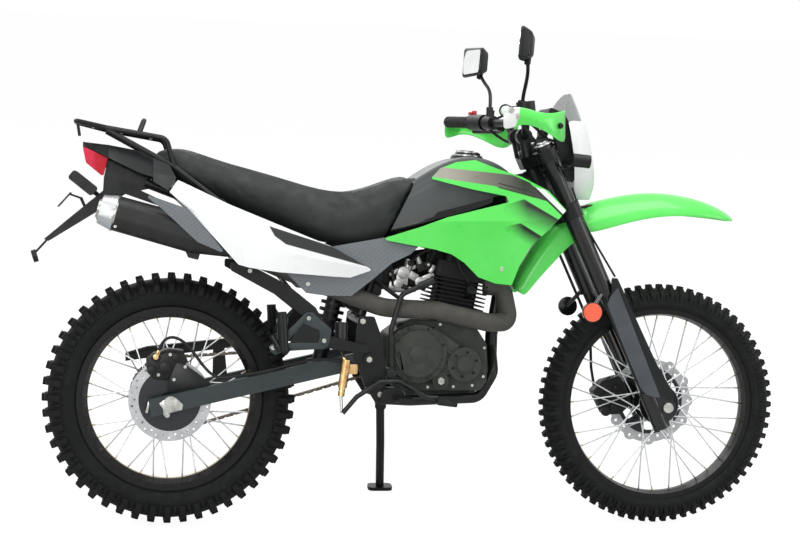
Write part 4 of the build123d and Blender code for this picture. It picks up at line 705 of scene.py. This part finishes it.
# Front fork: gloss black enamelled tubes and feet, slate plastic guards with a black front
# half, screwed to the feet, and orange reflectors on a bracket of each leg.
give(made_of("black_fork_enamel", "#0f1011", "#17181a", 60, 0.24, 2.2, 0.03), "fork_legs")
guard_grey = made_of("slate_polypropylene", "#474b50", "#53575c", 80, 0.38, 0.9, 0.04, specular=0.3)
tree, shader, place, tone, _ = guard_grey
black_half = add_node(tree, "Math", beyond(tree, place, (1205, 655), (1329, 366)),
                      beyond(tree, place, (1168, 618), (1197, 655)), operation="MAXIMUM")
tree.links.new(add_node(tree, "MixRGB", black_half, tone, linear("#151818")), shader.inputs["Base Color"])
guard_skin = welded_copy("fork_guards", "fork_guards_skin", 0.05, flat_degrees=1.5)
ease(guard_skin, 1.2, segments=3, angle=34)
bpy.ops.object.shade_smooth_by_angle(angle=math.radians(32))
reshape(guard_skin, "WEIGHTED_NORMAL", keep_sharp=True)
settle(guard_skin, "fork_guards_skin", guard_grey, "steering")
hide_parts("fork_guards")
orange = made_of("orange_reflector", "#e8401f", "#f4532c", 30, 0.15, 3.0, 0.03,
                 **{"Coat Weight": 0.6, "Coat Roughness": 0.05})
tree, shader, place, tone, _ = orange
prism = add_node(tree, "TexChecker", place, tone, linear("#ff7450"), 1000 / 4)
across = add_node(tree, "Math", add_node(tree, "SeparateXYZ", place).node.outputs["Y"], operation="ABSOLUTE")
REFLECTOR_FACE = 0.1442  # metres from the machine's middle
lens_face = add_node(tree, "Math", across, REFLECTOR_FACE, operation="GREATER_THAN")
tree.links.new(add_node(tree, "MixRGB", lens_face, linear("#141516"), prism), shader.inputs["Base Color"])
give(orange, "fork_reflectors")

# Hand guards: green plastic with a white printed end, clamped to the bars' ends by a mount
# each. Stations run from the mount: x, distance from the middle, lower and upper edge.
guard = made_of("green_abs_guard", *GREEN, 120, 0.3, 9.0, 0.003, **GLOSS)
tree, shader, place, tone, _ = guard
normal = add_node(tree, "TexCoord").node.outputs["Normal"]
to_left = tuple(PARKED.to_3x3() @ Vector((0, 1, 0)))
sideways = add_node(tree, "VectorMath", normal, to_left, operation="DOT_PRODUCT")
outward = add_node(tree, "Math", sideways.node.outputs["Value"],
                   add_node(tree, "SeparateXYZ", place).node.outputs["Y"], operation="MULTIPLY")
outward = add_node(tree, "Math", outward, 0.0, operation="GREATER_THAN")
white_end = beyond(tree, place, (838, 1060), (854, 1130), 1.0)
tree.links.new(printed(tree, tone, linear(WHITE[1]), outward, white_end), shader.inputs["Base Color"])
GUARD_STATIONS = (
    (812, 430, 1070, 1120), (830, 431, 1072, 1128), (862, 431, 1086, 1128), (900, 428, 1078, 1117),
    (934, 419, 1062, 1114), (962, 400, 1045, 1120), (984, 370, 1042, 1128), (995, 332, 1057, 1125),
    (999, 292, 1070, 1119), (997, 256, 1078, 1110),
)
for side, hand in ((-1, "right"), (1, "left")):
    guard_rows = [
        [(x - bow * 3, side * (y - (1 - bow) * 7), low + (high - low) * share)
         for share, bow in ((0, 0), (0.25, 0.75), (0.5, 1), (0.75, 0.75), (1, 0))]
        for x, y, low, high in GUARD_STATIONS
    ]
    shield = skin(f"hand_guard_{hand}", guard_rows, 4, guard, "steering")
    if side < 0:
        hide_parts("hand_guards")
    assemble(f"hand_guard_mount_{hand}", [
        lump("drum", (818, side * 415, 1117), (25, 25, 30), (90, 0, 0), 2),
        lump("box", (836, side * 421, 1108), (40, 8, 22), (0, 8, 0), 2),
    ], guard, "steering")

# Grips: soft black rubber with raised rings, pushed over the bars' ends. The rings are
# drawn in relief.
GRIP_RING_MM = 8
grip = made_of("ribbed_grip_rubber", "#141515", "#1d1e1e", 20, 0.7, 1.0, 0.05, specular=0.35)
tree, shader, place, tone, _ = grip
across = add_node(tree, "SeparateXYZ", place).node.outputs["Y"]
turns = add_node(tree, "Math", across, 2000 * math.pi / GRIP_RING_MM, operation="MULTIPLY")
rings = add_node(tree, "Math", turns, operation="SINE")
tree.links.new(add_node(tree, "Bump", {"Distance": 0.0009, "Height": rings}), shader.inputs["Normal"])
give(grip, "grips")

# Mirrors: black plastic housings on coated steel stems screwed into the lever brackets,
# each with a silvered glass that leaves a black rim.
def hose(name, diameter_mm, finish, body, slot, *points):
    """A hose or cable held at both ends: a round tube on a smooth line between its points."""
    line = bpy.data.curves.new(name, "CURVE")
    line.dimensions = "3D"
    line.bevel_depth = diameter_mm / 2000
    line.bevel_resolution = 3
    line.use_fill_caps = True
    run = line.splines.new("NURBS")
    run.points.add(len(points) - 1)
    for point, place in zip(run.points, points):
        point.co = (*spot(*place), 1)
    run.order_u = 3
    run.use_endpoint_u = True
    run.resolution_u = 8
    holder = bpy.data.objects.new(name, line)
    bpy.context.scene.collection.objects.link(holder)
    pick(holder)
    bpy.ops.object.convert(target="MESH")
    bpy.ops.object.shade_smooth_by_angle(angle=math.radians(40))
    return settle(bpy.context.object, name, finish, body)


glass = made_of("silvered_glass", "#e8ebeb", "#f6f8f8", 60, 0.03, 40.0, 0.005, metal=1.0)
MIRROR_TOE = math.radians(16)
MIRROR_PLACE = (876, 336, 1290)
for side, hand in ((-1, "right"), (1, "left")):
    middle = Vector((MIRROR_PLACE[0], side * MIRROR_PLACE[1], MIRROR_PLACE[2]))
    out = Vector((-math.cos(MIRROR_TOE), -side * math.sin(MIRROR_TOE), 0.06)).normalized()
    wide = Vector((-math.sin(MIRROR_TOE), side * math.cos(MIRROR_TOE), 0))
    high = out.cross(wide) * side
    pick()
    bpy.ops.mesh.primitive_cube_add(size=1)
    shell = bpy.context.object
    for vertex in shell.data.vertices:
        u, v, w = vertex.co * 2
        spread = 1.0 if w > 0 else 0.66
        corner = (wide * (u * 66 + 3) + high * (v * 45 - 2 + 3 * u * v)) * spread
        corner += out * (5 if w > 0 else -27)
        vertex.co = (middle + corner) / 1000
    ease(shell, 10, segments=5, angle=30)
    face_out()
    shell.matrix_world = PARKED
    shell.name = f"mirror_shell_{hand}"
    housing = assemble(f"mirror_housing_{hand}", [
        shell, lump("drum", (902, side * 214, 1136), (20, 20, 40), (0, 0, 0), 2),
        lump("drum", (892, side * 322, 1254), (17, 17, 26), (side * 20, 10, 0), 4),
    ], black_plastic, "steering")
    if side < 0:
        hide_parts("mirrors")
    hose(f"mirror_stem_{hand}", 10, black_coat, "steering", "black_enamel",
         (902, side * 214, 1120), (904, side * 216, 1162), (908, side * 244, 1206),
         (898, side * 304, 1234), (890, side * 326, 1262))
    pick()
    bpy.ops.mesh.primitive_circle_add(vertices=5, radius=0.05, fill_type="NGON")
    pane = bpy.context.object
    corners = ((-50, -35), (-47, 31), (51, 34), (56, -8), (40, -36))
    for vertex, (u, v) in zip(pane.data.vertices, corners):
        vertex.co = (middle + wide * u + high * v + out * 6.2) / 1000
    bpy.ops.object.mode_set(mode="EDIT")
    bpy.ops.mesh.select_all(action="SELECT")
    bpy.ops.mesh.bevel(offset=0.009, segments=4, affect="VERTICES")
    bpy.ops.mesh.select_all(action="SELECT")
    bpy.ops.mesh.extrude_region_move(TRANSFORM_OT_translate={"value": out * 0.0012})
    face_out()
    pane.matrix_world = PARKED
    settle(pane, f"mirror_glass_{hand}", glass, "steering")

# Headlamp and screen: the lamp is clear polycarbonate over a bright bowl, set in the mask;
# the screen is lightly smoked acrylic, screwed to the mask's top.
clear = made_of("clear_polycarbonate", "#dfe3e6", "#f2f4f5", 25, 0.06, 9.0, 0.05,
                **{"Transmission Weight": 0.35})
give(clear, "headlamp")
smoked = made_of("smoked_acrylic", "#8f9694", "#a0a6a4", 60, 0.06, 40.0, 0.01, **{"Alpha": 0.45, "IOR": 1.49})
screen_rows = level_rows(
    (1110, (85, 68, 36, 0), (1058, 1090, 1114, 1116)), (1146, (74, 58, 30, 0), (1046, 1076, 1101, 1104)),
    (1172, (50, 40, 21, 0), (1060, 1074, 1090, 1093)), (1189, (24, 18, 9, 0), (1073, 1078, 1084, 1087)),
)
screen = skin("smoked_windscreen", screen_rows, 3, smoked, "steering")
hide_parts("windscreen")


# Screws: zinc plated or black oxidised steel, each on a round washer, turned into the
# panels, covers, cases, brackets and guards that they hold.
def screws(name, body, finish, across_mm, sides, seats):
    """Screws of one size: model one, then copy it to each seat, a place and the way it faces."""
    size = across_mm / 1000
    pick()
    bpy.ops.mesh.primitive_cylinder_add(vertices=sides, radius=size / 2, depth=size * 0.4,
                                        location=(0, 0, size * 0.3))
    master = bpy.context.object
    bpy.ops.object.mode_set(mode="EDIT")
    bpy.ops.mesh.bevel(offset=size * 0.04, segments=1, affect="EDGES")
    bpy.ops.mesh.select_all(action="DESELECT")
    mesh = bmesh.from_edit_mesh(master.data)
    top = max(mesh.faces, key=lambda face: face.calc_center_median().z)
    top.select = True
    bmesh.update_edit_mesh(master.data)
    bpy.ops.mesh.inset(thickness=size * 0.2, depth=0)
    bpy.ops.mesh.extrude_region_move(TRANSFORM_OT_translate={"value": (0, 0, -size * 0.14)})
    bpy.ops.mesh.select_all(action="DESELECT")
    bpy.ops.mesh.primitive_cylinder_add(vertices=18, radius=size * 0.66, depth=size * 0.14,
                                        location=(0, 0, size * 0.07))
    bpy.ops.object.mode_set(mode="OBJECT")
    copies = []
    for place, way in seats:
        copy = bpy.data.objects.new(name, master.data.copy())
        bpy.context.scene.collection.objects.link(copy)
        facing = Vector(way).to_track_quat("Z", "Y").to_matrix().to_4x4()
        copy.data.transform(PARKED @ Matrix.Translation(Vector(place) / 1000) @ facing)
        copies.append(copy)
    bpy.data.objects.remove(master)
    pick(*copies)
    bpy.ops.object.join()
    return settle(copies[0], name, finish, body)


def both(*places):
    """The same seats on the right side and on the left, each facing outward."""
    return [((x, side * y, z), (0, side, 0)) for side in (-1, 1) for x, y, z in places]


def on_right(*places):
    """Seats that all face the machine's right."""
    return [(place, (0, -1, 0)) for place in places]


CLUTCH = (656, 475)
clutch_ring = [(CLUTCH[0] + 72 * math.cos(math.radians(a)), -128, CLUTCH[1] + 72 * math.sin(math.radians(a)))
               for a in (20, 68, 112, 160, 205, 250, 292)]
screws("clutch_cover_screws", "chassis", black_oxide, 9, 16, on_right(*clutch_ring))
screws("frame_bolts", "chassis", zinc, 17, 6, on_right((523, -140, 459), (505, -127, 560), (556, -127, 365)))
screws("panel_screws", "chassis", zinc, 12, 16, both((872, 161, 707), (354, 146.5, 658), (200, 148, 690)))
screws("oil_filler_star", "chassis", zinc, 20, 6, on_right((720, -130, 402)))
screws("case_bolts", "chassis", zinc, 9, 6, on_right(*[(x, -92, z) for x, z in (
    (620, 396), (690, 382), (760, 384), (812, 388), (842, 412), (843, 490), (800, 548), (720, 552),
    (600, 520), (589, 420),
)]))
screws("muffler_rivets", "chassis", zinc, 6, 12, on_right(
    (-158, -186, 846), (-164, -186, 824), (-152, -180, 800), (-160, -176, 868),
))

# Silencer's bands: zinc plated steel rings, clamped round its tail and its outlet.
# Each is placed along the silencer's axis.
ALONG_MUFFLER = (0, 104.5, 0)
bands = []
for along, width, length, edge in ((15, 98, 7, 2), (-20, 62, 16, 3), (-28, 50, 8, 2)):
    place = (MUFFLER_TAIL[0] + MUFFLER_WAY[0] * along, -140, MUFFLER_TAIL[1] + MUFFLER_WAY[1] * along)
    bands.append(lump("drum", place, (width, width, length), ALONG_MUFFLER, edge))
assemble("muffler_bands", bands, zinc, "chassis")

# Front screws: as the screws above, turned into the mask's brackets, the hand guards and
# their mounts. They steer with the bars.
screws("front_bracket_bolts", "steering", zinc, 12, 6, both(
    (1091, 71, 1025), (1104, 71, 971), (830, 433, 1119), (846, 434, 1104),
))
screws("hand_guard_plugs", "steering", black_oxide, 12, 16, [
    ((966, side * 403, 1084), (0.6, side * 0.8, 0)) for side in (-1, 1)
])


# Throttle body: die-cast aluminium between the air box and the head, with black fittings
# and a shroud, the starter motor beside it, and rubber hoses and cables held at both ends.
die_cast = made_of("die_cast_aluminium", "#9c9d9b", "#c6c7c4", 18, 0.36, 1.0, 0.1, metal=1.0)
ACROSS = (90, 0, 0)
assemble("throttle_body", [
    lump("drum", (617, -34, 672), (58, 58, 26), (0, 84, 0), 3),
    lump("box", (617, -48, 668), (34, 34, 62), (0, 6, 0), 4),
    lump("drum", (620, -60, 690), (34, 34, 26), ACROSS, 3),
    lump("drum", (606, -66, 660), (26, 26, 20), ACROSS, 2),
    lump("drum", (634, -52, 706), (26, 26, 40), (0, 12, 0), 3),
    lump("box", (648, -52, 680), (26, 26, 22), (0, 30, 0), 3),
    lump("drum", (598, -58, 690), (14, 14, 34), (0, 60, 0), 2),
    lump("box", (654, -40, 704), (40, 10, 10), (0, -30, 0), 2),
    lump("drum", (668, -56, 664), (30, 30, 18), ACROSS, 2),
    lump("box", (690, -52, 680), (34, 16, 14), (0, -24, 0), 2),
    lump("drum", (700, -54, 700), (18, 18, 24), (0, 30, 0), 2),
    lump("box", (594, -52, 652), (24, 20, 26), (0, 10, 0), 3),
    lump("drum", (662, -58, 724), (16, 16, 22), (0, -20, 0), 2),
    lump("box", (640, -62, 646), (34, 8, 10), (0, 18, 0), 2),
], die_cast, "chassis")
assemble("intake_shroud", [
    lump("box", (646, -4, 704), (150, 36, 84), (0, -8, 0), 8),
    lump("box", (570, -30, 700), (44, 60, 96), (0, 6, 0), 8),
    lump("box", (716, -10, 736), (60, 60, 50), (0, 10, 0), 8),
], fin_black, "chassis")
assemble("starter_motor", [
    lump("drum", (636, -62, 566), (44, 44, 70), (0, 84, 0), 4),
    lump("drum", (604, -62, 562), (30, 30, 16), (0, 84, 0), 3),
], die_cast, "chassis")
assemble("throttle_fittings", [
    lump("box", (672, -48, 706), (28, 22, 24), (0, -20, 0), 3),
    lump("drum", (688, -52, 712), (20, 20, 30), ACROSS, 2),
    lump("drum", (640, -64, 716), (18, 18, 12), ACROSS, 2),
    lump("box", (626, -62, 650), (20, 12, 14), (0, 20, 0), 2),
    lump("drum", (592, -40, 676), (64, 64, 8), (0, 84, 0), 2),
], black_plastic, "chassis")
screws("throttle_screws", "chassis", zinc, 8, 6, on_right(
    (620, -73, 690), (606, -76, 660), (688, -67, 712), (650, -65, 680),
))
rubber_hose = made_of("black_nitrile_hose", "#101111", "#191a1a", 16, 0.5, 0.8, 0.03, specular=0.3)
for name, width, *points in (
    ("fuel_hose", 8, (690, -56, 716), (706, -70, 742), (700, -66, 776), (680, -40, 800)),
    ("throttle_cable", 6,
     (640, -68, 716), (660, -84, 752), (760, -88, 760), (860, -70, 800), (930, -60, 850)),
    ("breather_hose", 11,
     (646, -60, 566), (640, -84, 600), (600, -86, 626), (566, -80, 650), (540, -58, 672)),
    ("coil_lead", 8,
     (792, -62, 640), (800, -92, 664), (770, -104, 700), (760, -92, 740), (770, -50, 780)),
):
    hose(name, width, rubber_hose, "chassis", "black_plastic", *points)

# Engine trim: a raised rim, ribs and centre plate cast on the clutch cover, ribs on the
# crank cover's web, and the spark plug's black cap.
ribs = [lump("drum", (CLUTCH[0], -135.5, CLUTCH[1]), (48, 48, 4), ACROSS, 1.2),
        lump("box", (731, -119, 486), (74, 6, 8), (0, 32, 0), 2),
        lump("box", (728, -119, 462), (66, 6, 7), (0, 20, 0), 2),
        lump("box", (604, -132, 466), (14, 6, 76), (0, -14, 0), 2)]
for number in range(16):
    turn = math.tau * (number + 0.5) / 16
    x, z = CLUTCH[0] + 70 * math.cos(turn), CLUTCH[1] + 70 * math.sin(turn)
    ribs.append(lump("box", (x, -129, z), (12, 4, 4), (0, -math.degrees(turn), 0), 1))
assemble("clutch_cover_ribs", ribs, cast, "chassis")
assemble("spark_plug_cap", [
    lump("drum", (800, -84, 640), (26, 26, 36), (60, 20, 0), 3),
    lump("drum", (797, -66, 634), (18, 18, 30), (60, 20, 0), 2),
], black_plastic, "chassis")

# Rear master cylinder: a gold anodised body, bolted to the frame's plate, between its
# rubber boot above and its steel rod below.
cylinder = made_of("gold_anodised_cylinder", "#c99a5c", "#efcf9a", 14, 0.3, 0.7, 0.03)
tree, shader, place, tone, _ = cylinder
boot = beyond(tree, place, (400, 464), (500, 464))
rod = beyond(tree, place, (500, 362), (400, 362))
bare = add_node(tree, "MixRGB", rod, tone, linear("#b9bab6"))
tree.links.new(add_node(tree, "MixRGB", boot, bare, linear("#111212")), shader.inputs["Base Color"])
tree.links.new(add_node(tree, "MapRange", boot, 0.0, 1.0, 1.0, 0.0), shader.inputs["Metallic"])
give(cylinder, "rear_master_cylinder")

# Rear brake: a black enamelled caliper bolted to a coated steel plate, its rubber hose
# clipped along the swingarm, and the zinc plated adjuster blocks of the axle.
def plate(outline, y_from, y_to, edge=1.2):
    """A flat plate with eased edges: its outline of x and z, filled from one y to a larger one."""
    pick()
    bpy.ops.mesh.primitive_circle_add(vertices=len(outline), radius=0.1, fill_type="NGON")
    piece = bpy.context.object
    for vertex, (x, z) in zip(piece.data.vertices, outline):
        vertex.co = (x / 1000, y_from / 1000, z / 1000)
    bpy.ops.object.mode_set(mode="EDIT")
    bpy.ops.mesh.select_all(action="SELECT")
    bpy.ops.mesh.extrude_region_move(TRANSFORM_OT_translate={"value": (0, (y_to - y_from) / 1000, 0)})
    face_out()
    ease(piece, edge, angle=15)
    piece.matrix_world = PARKED
    return piece


caliper_side = [(-65, 448), (-46, 465), (-7, 477), (32, 472), (46, 444), (27, 427), (-11, 393), (-44, 396),
                (-62, 415)]
caliper_coat = made_of("black_caliper_enamel", "#0f1011", "#181919", 20, 0.4, 1.0, 0.08, specular=0.3)
caliper = assemble("rear_caliper_body", [
    plate(caliper_side, -88, -68, 3), plate(caliper_side, -56, -44, 2),
    plate([(-48, 464), (-7, 478), (33, 473), (36, 463), (-4, 466), (-40, 456)], -88, -44, 2),
    lump("drum", (-14, -88, 428), (32, 32, 14), ACROSS, 2.5),
    lump("drum", (-50, -88, 421), (22, 22, 12), ACROSS, 2),
    lump("drum", (13, -88, 455), (20, 20, 12), ACROSS, 2),
    lump("box", (-38, -86, 452), (22, 12, 20), (0, 30, 0), 3),
    lump("drum", (-14, -96, 428), (20, 20, 3), ACROSS, 1),
], caliper_coat, "chassis")
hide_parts("rear_caliper")
bracket_side = [(32, 441), (103, 390), (110, 372), (12, 350), (-6, 366), (-3, 396), (5, 418), (14, 440)]
assemble("rear_caliper_bracket", [plate(bracket_side, -91.5, -87, 1)], black_coat, "chassis")
screws("rear_caliper_bolts", "chassis", zinc, 10, 6, on_right(
    (38, -91.5, 430), (9, -91.5, 396), (-32, -88, 408), (-2, -88, 462),
))
gold = made_of("gold_anodised_aluminium", "#c99a5c", "#efcf9a", 14, 0.3, 0.7, 0.03, metal=1.0)
assemble("rear_banjo", [
    lump("drum", (-40, -94, 456), (15, 15, 10), ACROSS, 1.5),
    lump("box", (-34, -93, 466), (9, 7, 16), (0, 20, 0), 1.5),
], gold, "chassis")
hose("rear_brake_hose", 8, rubber_hose, "chassis", "black_plastic",
     (-34, -93, 464), (-28, -92, 492), (-3, -92, 511), (26, -94, 503), (54, -98, 476),
     (80, -104, 440), (106, -112, 412), (136, -122, 402), (176, -124, 412), (243, -123, 421),
     (330, -123, 448), (400, -123, 462), (452, -128, 452))
adjuster = [(-30, 335), (-11, 349), (12, 352), (33, 333), (31, 319), (-2, 310), (-5, 299),
            (-18, 304), (-19, 321)]
adjusters = [plate(adjuster, -121.5, -118, 0.8), plate(adjuster, 118, 121.5, 0.8)]
adjusters += [lump("box", (-58, y, 326), (6, 24, 34), (0, 13, 0), 1) for y in (-104, 104)]
assemble("axle_adjusters", adjusters, zinc, "chassis")
screws("adjuster_nuts", "chassis", zinc, 11, 6, both((-8, 121.5, 305)))

# Passenger peg brackets: triangles of slate coated steel plate, each with a strap, bolted
# to the outside of the frame's plates.
PEG_PLATE_Y, PEG_STRAP_Y, PEG_OUTSIDE_Y = 151, 156, 161
for side, hand in ((-1, "right"), (1, "left")):
    frame_face = sorted((side * PEG_PLATE_Y, side * PEG_STRAP_Y))
    strap_face = sorted((side * PEG_STRAP_Y, side * PEG_OUTSIDE_Y))
    plates = [plate(outline, *face) for face, outline in (
        (frame_face, ((290, 520), (350, 583), (366, 577), (341, 551), (305, 509), (300, 486), (284, 490))),
        (frame_face, ((350, 583), (367, 584), (418, 539), (413, 499), (400, 488), (382, 502), (388, 517),
                      (385, 537), (366, 544), (345, 553))),
        (frame_face, ((256, 480), (270, 469), (298, 481), (401, 487), (382, 503), (273, 502), (258, 497))),
        (strap_face, ((273, 566), (283, 575), (296, 575), (303, 565), (292, 486), (273, 486))),
    )]
    assemble(f"peg_bracket_{hand}", plates, slate_coat, "chassis")
    for kind, finish, width, y, seats in (
        ("bracket", zinc, 13, PEG_STRAP_Y, ((357, 568), (399, 509), (264, 489))),
        ("strap", black_oxide, 9, PEG_OUTSIDE_Y, ((290, 556), (288, 536))),
    ):
        screws(f"peg_{kind}_bolts_{hand}", "chassis", finish, width, 6,
               [((x, side * y, z), (0, side, 0)) for x, z in seats])

# Tail infill and front brake hose: black plastic screwed between the cowl's cheeks, over
# the mudguard, and a rubber hose clipped down the fork.
infill = plate([(-190, 958), (-182, 984), (-84, 941), (-84, 914), (-140, 934)], -45, 45, 3)
settle(infill, "tail_infill", black_plastic, "chassis")
hose("front_brake_hose", 6, rubber_hose, "steering", "black_plastic",
     (1074, -96, 930), (1092, -104, 874), (1116, -106, 820), (1156, -106, 756), (1198, -108, 690))

# Front caliper trim: black enamelled aluminium, as the caliper that it is bolted to. It
# has two piston housings, a bridge bolt and the pad cover.
assemble("front_caliper_pistons", [
    lump("drum", (1226, 40, 344), (30, 30, 10), ACROSS, 2.5),
    lump("drum", (1222, 40, 306), (30, 30, 10), ACROSS, 2.5),
    lump("box", (1250, 41, 330), (24, 8, 60), (0, 8, 0), 2),
    lump("drum", (1250, 40, 372), (16, 16, 12), ACROSS, 2),
], caliper_coat, "steering")

# Front trim: polished steel caps screwed into the fork tubes, the kill switch's red
# plastic button, and rubber sleeved cables that loop from the switches to the lamp.
RAKE_DEGREES = 25
STEERING_FOOT = (1294.2, 306.1)
FORK_FORWARD, FORK_HALF = 35, 95


def on_fork(forward, up):
    """x and z of a point of the steered front, forward of the steering axis and up along it, in mm."""
    sine, cosine = math.sin(math.radians(RAKE_DEGREES)), math.cos(math.radians(RAKE_DEGREES))
    return STEERING_FOOT[0] + forward * cosine - up * sine, STEERING_FOOT[1] + forward * sine + up * cosine


ALONG_FORK = (0, -RAKE_DEGREES, 0)
caps = []
for side in (-1, 1):
    for up, wide, tall in ((797, 50, 5), (801, 30, 9)):
        x, z = on_fork(FORK_FORWARD, up)
        caps.append(lump("drum", (x, side * FORK_HALF, z), (wide, wide, tall), ALONG_FORK, 1.2))
x, z = on_fork(0, 796)
caps.append(lump("drum", (x, 0, z), (32, 32, 10), ALONG_FORK, 1.5))
assemble("fork_caps", caps, polished, "steering")
red_button = made_of("red_switch_plastic", "#c0161c", "#d3242a", 12, 0.35, 0.9, 0.02)
assemble("kill_button", [
    lump("drum", (874, 300, 1142), (14, 14, 12), (0, 0, 0), 1.5),
    lump("box", (862, 300, 1140), (10, 16, 8), (0, 0, 0), 1.5),
], red_button, "steering")
for side, hand in ((-1, "right"), (1, "left")):
    hose(f"switch_loom_{hand}", 8, rubber_hose, "steering", "black_plastic",
         (900, side * 222, 1096), (934, side * 196, 1062), (968, side * 120, 1048),
         (1010, side * 72, 1064), (1040, side * 56, 1050))
hose("clutch_cable", 7, rubber_hose, "steering", "black_plastic",
     (914, 196, 1120), (960, 150, 1148), (1006, 80, 1130), (1016, 60, 1070), (1000, 40, 1010))
